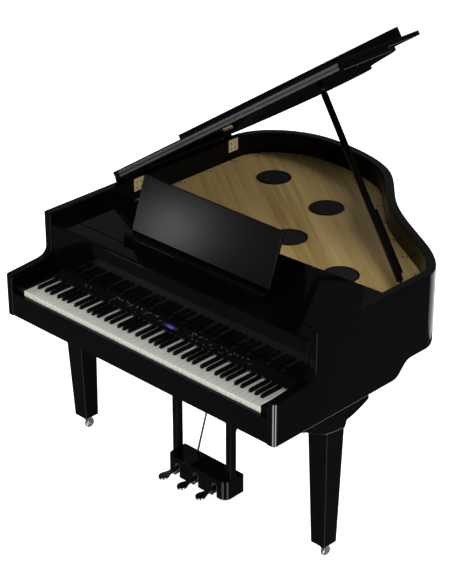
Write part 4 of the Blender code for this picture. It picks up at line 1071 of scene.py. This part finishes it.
def make_socket(name, across, y):
    """A ring on a round plate under the lid."""
    shape = bmesh.new()
    profile = [(0.0, -0.0004), (0.0150, -0.0004), (0.0150, 0.0010), (0.0095, 0.0014), (0.0090, 0.0040),
               (0.0070, 0.0044), (0.0066, 0.0012), (0.0, 0.0010)]
    lathe(shape, profile, under_lid(across, y), lid_under, 36)
    place(tidy(piece_from(name, shape)), painted, body="lid")


prop_tip = make_prop_head()
tip_across = (prop_tip - HINGE_AXIS).dot(lid_along)
make_socket("prop_socket", tip_across, prop_tip.y)
print("prop meets the lid", round(tip_across, 3), "m from the turning line")

# %% [markdown]
# Pedals are cast levers, here plated. Their tips are broad and crowned, so that a foot can roll off them,
# and they narrow to an arm that goes into the pedal box. The solid has the outline, and a wide rounding of
# its edges gives the crown. Each arm comes out of a slot that is lined with felt, so that it can't rattle.

# %% Pedals
SLOT_CROWN = 0.0760
SLOT_HALF = 0.0135
LYRE_UNDER = 0.0170
FELT_THICK = 0.0020
FELT_DEEP = 0.0100
ARCH_STEPS = 16


def make_pedal(node):
    piece = piece_from(node + "_finished", solid_shape(node))
    round_edges(piece, 0.0030, 4)
    place(piece, pedal_plate, node)


def felt_arch(node):
    """The felt that lines a pedal's slot: two upright strips and a half round over them."""
    middle = middle_of(node).x
    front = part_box("lyre")[0].y + 0.0006
    depths = (front, front + FELT_DEEP)
    start = LYRE_UNDER + 0.0008

    def corner(radius, angle):
        return middle + radius * math.cos(angle), SLOT_CROWN - SLOT_HALF + radius * math.sin(angle)

    rings = []
    for step in range(-1, ARCH_STEPS + 2):
        angle = math.pi * (1 - min(max(step, 0), ARCH_STEPS) / ARCH_STEPS)
        ends = [corner(radius, angle) for radius in (SLOT_HALF - 0.0001, SLOT_HALF - FELT_THICK)]
        if step in (-1, ARCH_STEPS + 1):
            ends = [(x, start) for x, _ in ends]
        rings.append([(ends[a][0], depths[b], ends[a][1]) for a, b in rectangle((0, 1), (0, 1))])
    shape = bmesh.new()
    loft(shape, rings)
    arch = tidy(piece_from(node + "_felt", shape), math.radians(50.0))
    place(arch, red_felt, body="case")


for node in ("pedal_left", "pedal_middle", "pedal_right"):
    make_pedal(node)
    felt_arch(node)
for node in ("brace_rod_left", "brace_rod_right"):
    softened(node, rubber, 0.0004, 2)

# %% [markdown]
# Castors let the piano be rolled. Each has a forked bracket and a small wheel. They are too small in the
# picture to need more than their solids with rounded edges.

# %% Castors
for side in ("left", "right", "rear"):
    softened("castor_fork_" + side, chrome, 0.0005, 2)
    softened("castor_wheel_" + side, chrome, 0.0008, 2)

# %% [markdown]
# The stage. The floor is plain and pale, and it keeps the piano's soft shadow. The world is white to the
# camera. Black lacquer shows hardly anything but what it mirrors, and the photograph's mirrors a dim
# studio with a few bright panels. So mirror rays see a dim room with one dark corner and a few pale bands,
# which draw the lines along the rounded edges. Two panels light nothing and only stand in the lacquer, and
# the four lamps only light.

# %% Floor, world and lamps
MIRRORED_ROOM = 0.16
MIRRORED_CORNER = 0.004
EDGE_BANDS = 6.0
SKY_LIGHT = 0.40
FLOOR_GLOW = 0.68
FLOOR_SIZE = 40.0


def seen_directly(recipe):
    """1 where a camera or transmission ray looks and 0 elsewhere, and the same for a mirror ray."""
    path = recipe.node("LightPath").output.node.outputs
    direct = Socket(recipe, path["Is Camera Ray"]) + Socket(recipe, path["Is Transmission Ray"])
    return direct, Socket(recipe, path["Is Glossy Ray"])


def make_floor():
    """The floor. Mirror rays pass through it, so that the lacquer mirrors the dim room under it."""
    shape = bmesh.new()
    bmesh.ops.create_grid(shape, x_segments=2, y_segments=2, size=FLOOR_SIZE / 2)
    floor = piece_from("studio_floor", shape)
    recipe = Recipe("studio_floor")
    direct, _ = seen_directly(recipe)
    recipe.tree.nodes.remove(recipe.tree.nodes["Principled BSDF"])
    grain = recipe.noise(recipe.place(), 3.0, 2.0)
    paint = recipe.node("BsdfDiffuse", None, {"Color": grain.tint((0.94, 0.94, 0.94), (0.96, 0.96, 0.96))})
    glow = recipe.node("Emission", None, {"Color": (1.0, 1.0, 1.0), "Strength": direct * FLOOR_GLOW})
    lit = recipe.node("AddShader", None, {0: paint, 1: glow})
    recipe.plug(recipe.tree.nodes["Material Output"].inputs["Surface"], lit)
    floor.data.materials.append(recipe.owner)
    floor.visible_glossy = False


def make_world():
    recipe = Recipe("studio", bpy.data.worlds)
    bpy.context.scene.world = recipe.owner
    direct, mirror = seen_directly(recipe)
    x, y, z = recipe.axes(recipe.node("TexCoord", output="Generated"))
    toward = (x - y) * math.sqrt(0.5)
    aside = ((x + y) * math.sqrt(0.5)).size()
    low = 1.0 - z.between(-0.15, 0.30)
    corner = (1.0 - toward.between(-0.80, -0.45)) * low
    bands = aside.within(0.22, 0.36, 0.60, 0.72) * toward.between(0.35, 0.55) * low
    under = (1.0 - z.between(-0.72, -0.64)) * y.within(0.50, 0.58, 0.70, 0.78)
    room = corner * (MIRRORED_CORNER - MIRRORED_ROOM) + MIRRORED_ROOM + (bands + under) * EDGE_BANDS
    strength = direct * (1.0 - SKY_LIGHT) + mirror * (room - SKY_LIGHT) + SKY_LIGHT
    background = recipe.tree.nodes["Background"]
    background.inputs["Color"].default_value = (1.0, 1.0, 1.0, 1.0)
    recipe.plug(background.inputs["Strength"], strength)


def lamp(name, spot, aim, size, power, mirrored):
    """A rectangular soft box, which either only lights the piano or only stands in its lacquer."""
    light = bpy.data.lights.new(name, "AREA")
    light.shape = "RECTANGLE"
    light.size, light.size_y = size
    light.energy = power
    made = bpy.data.objects.new(name, light)
    bpy.context.scene.collection.objects.link(made)
    made.location = spot
    made.rotation_euler = (Vector(aim) - Vector(spot)).to_track_quat("-Z", "Y").to_euler()
    made.visible_camera = False
    made.visible_glossy = mirrored
    made.visible_diffuse = not mirrored


make_floor()
make_world()
lamp("left_box", (-4.0, -2.0, 2.6), (0.0, -0.5, 0.8), (1.2, 1.2), 98.0, False)
lamp("tail_box", (1.8, 3.0, 2.5), (-0.3, 0.6, 0.9), (1.0, 1.0), 140.0, False)
lamp("front_fill", (0.8, -4.5, 1.2), (0.0, -0.7, 0.75), (1.5, 1.0), 150.0, False)
lamp("top_box", (0.6, -0.8, 4.2), (0.0, 0.0, 0.8), (2.4, 2.4), 40.0, False)
lamp("desk_box", (-1.45, -1.91, 1.13), (-0.151, -0.388, 1.046), (0.2, 0.2), 1.2, True)
lamp("bend_panel", (0.75, 1.35, 0.45), (0.75, 0.10, 0.60), (1.2, 0.8), 5.0, True)
bpy.context.scene.view_settings.view_transform = "Standard"
print("lamps and panels:", len(bpy.data.lights))
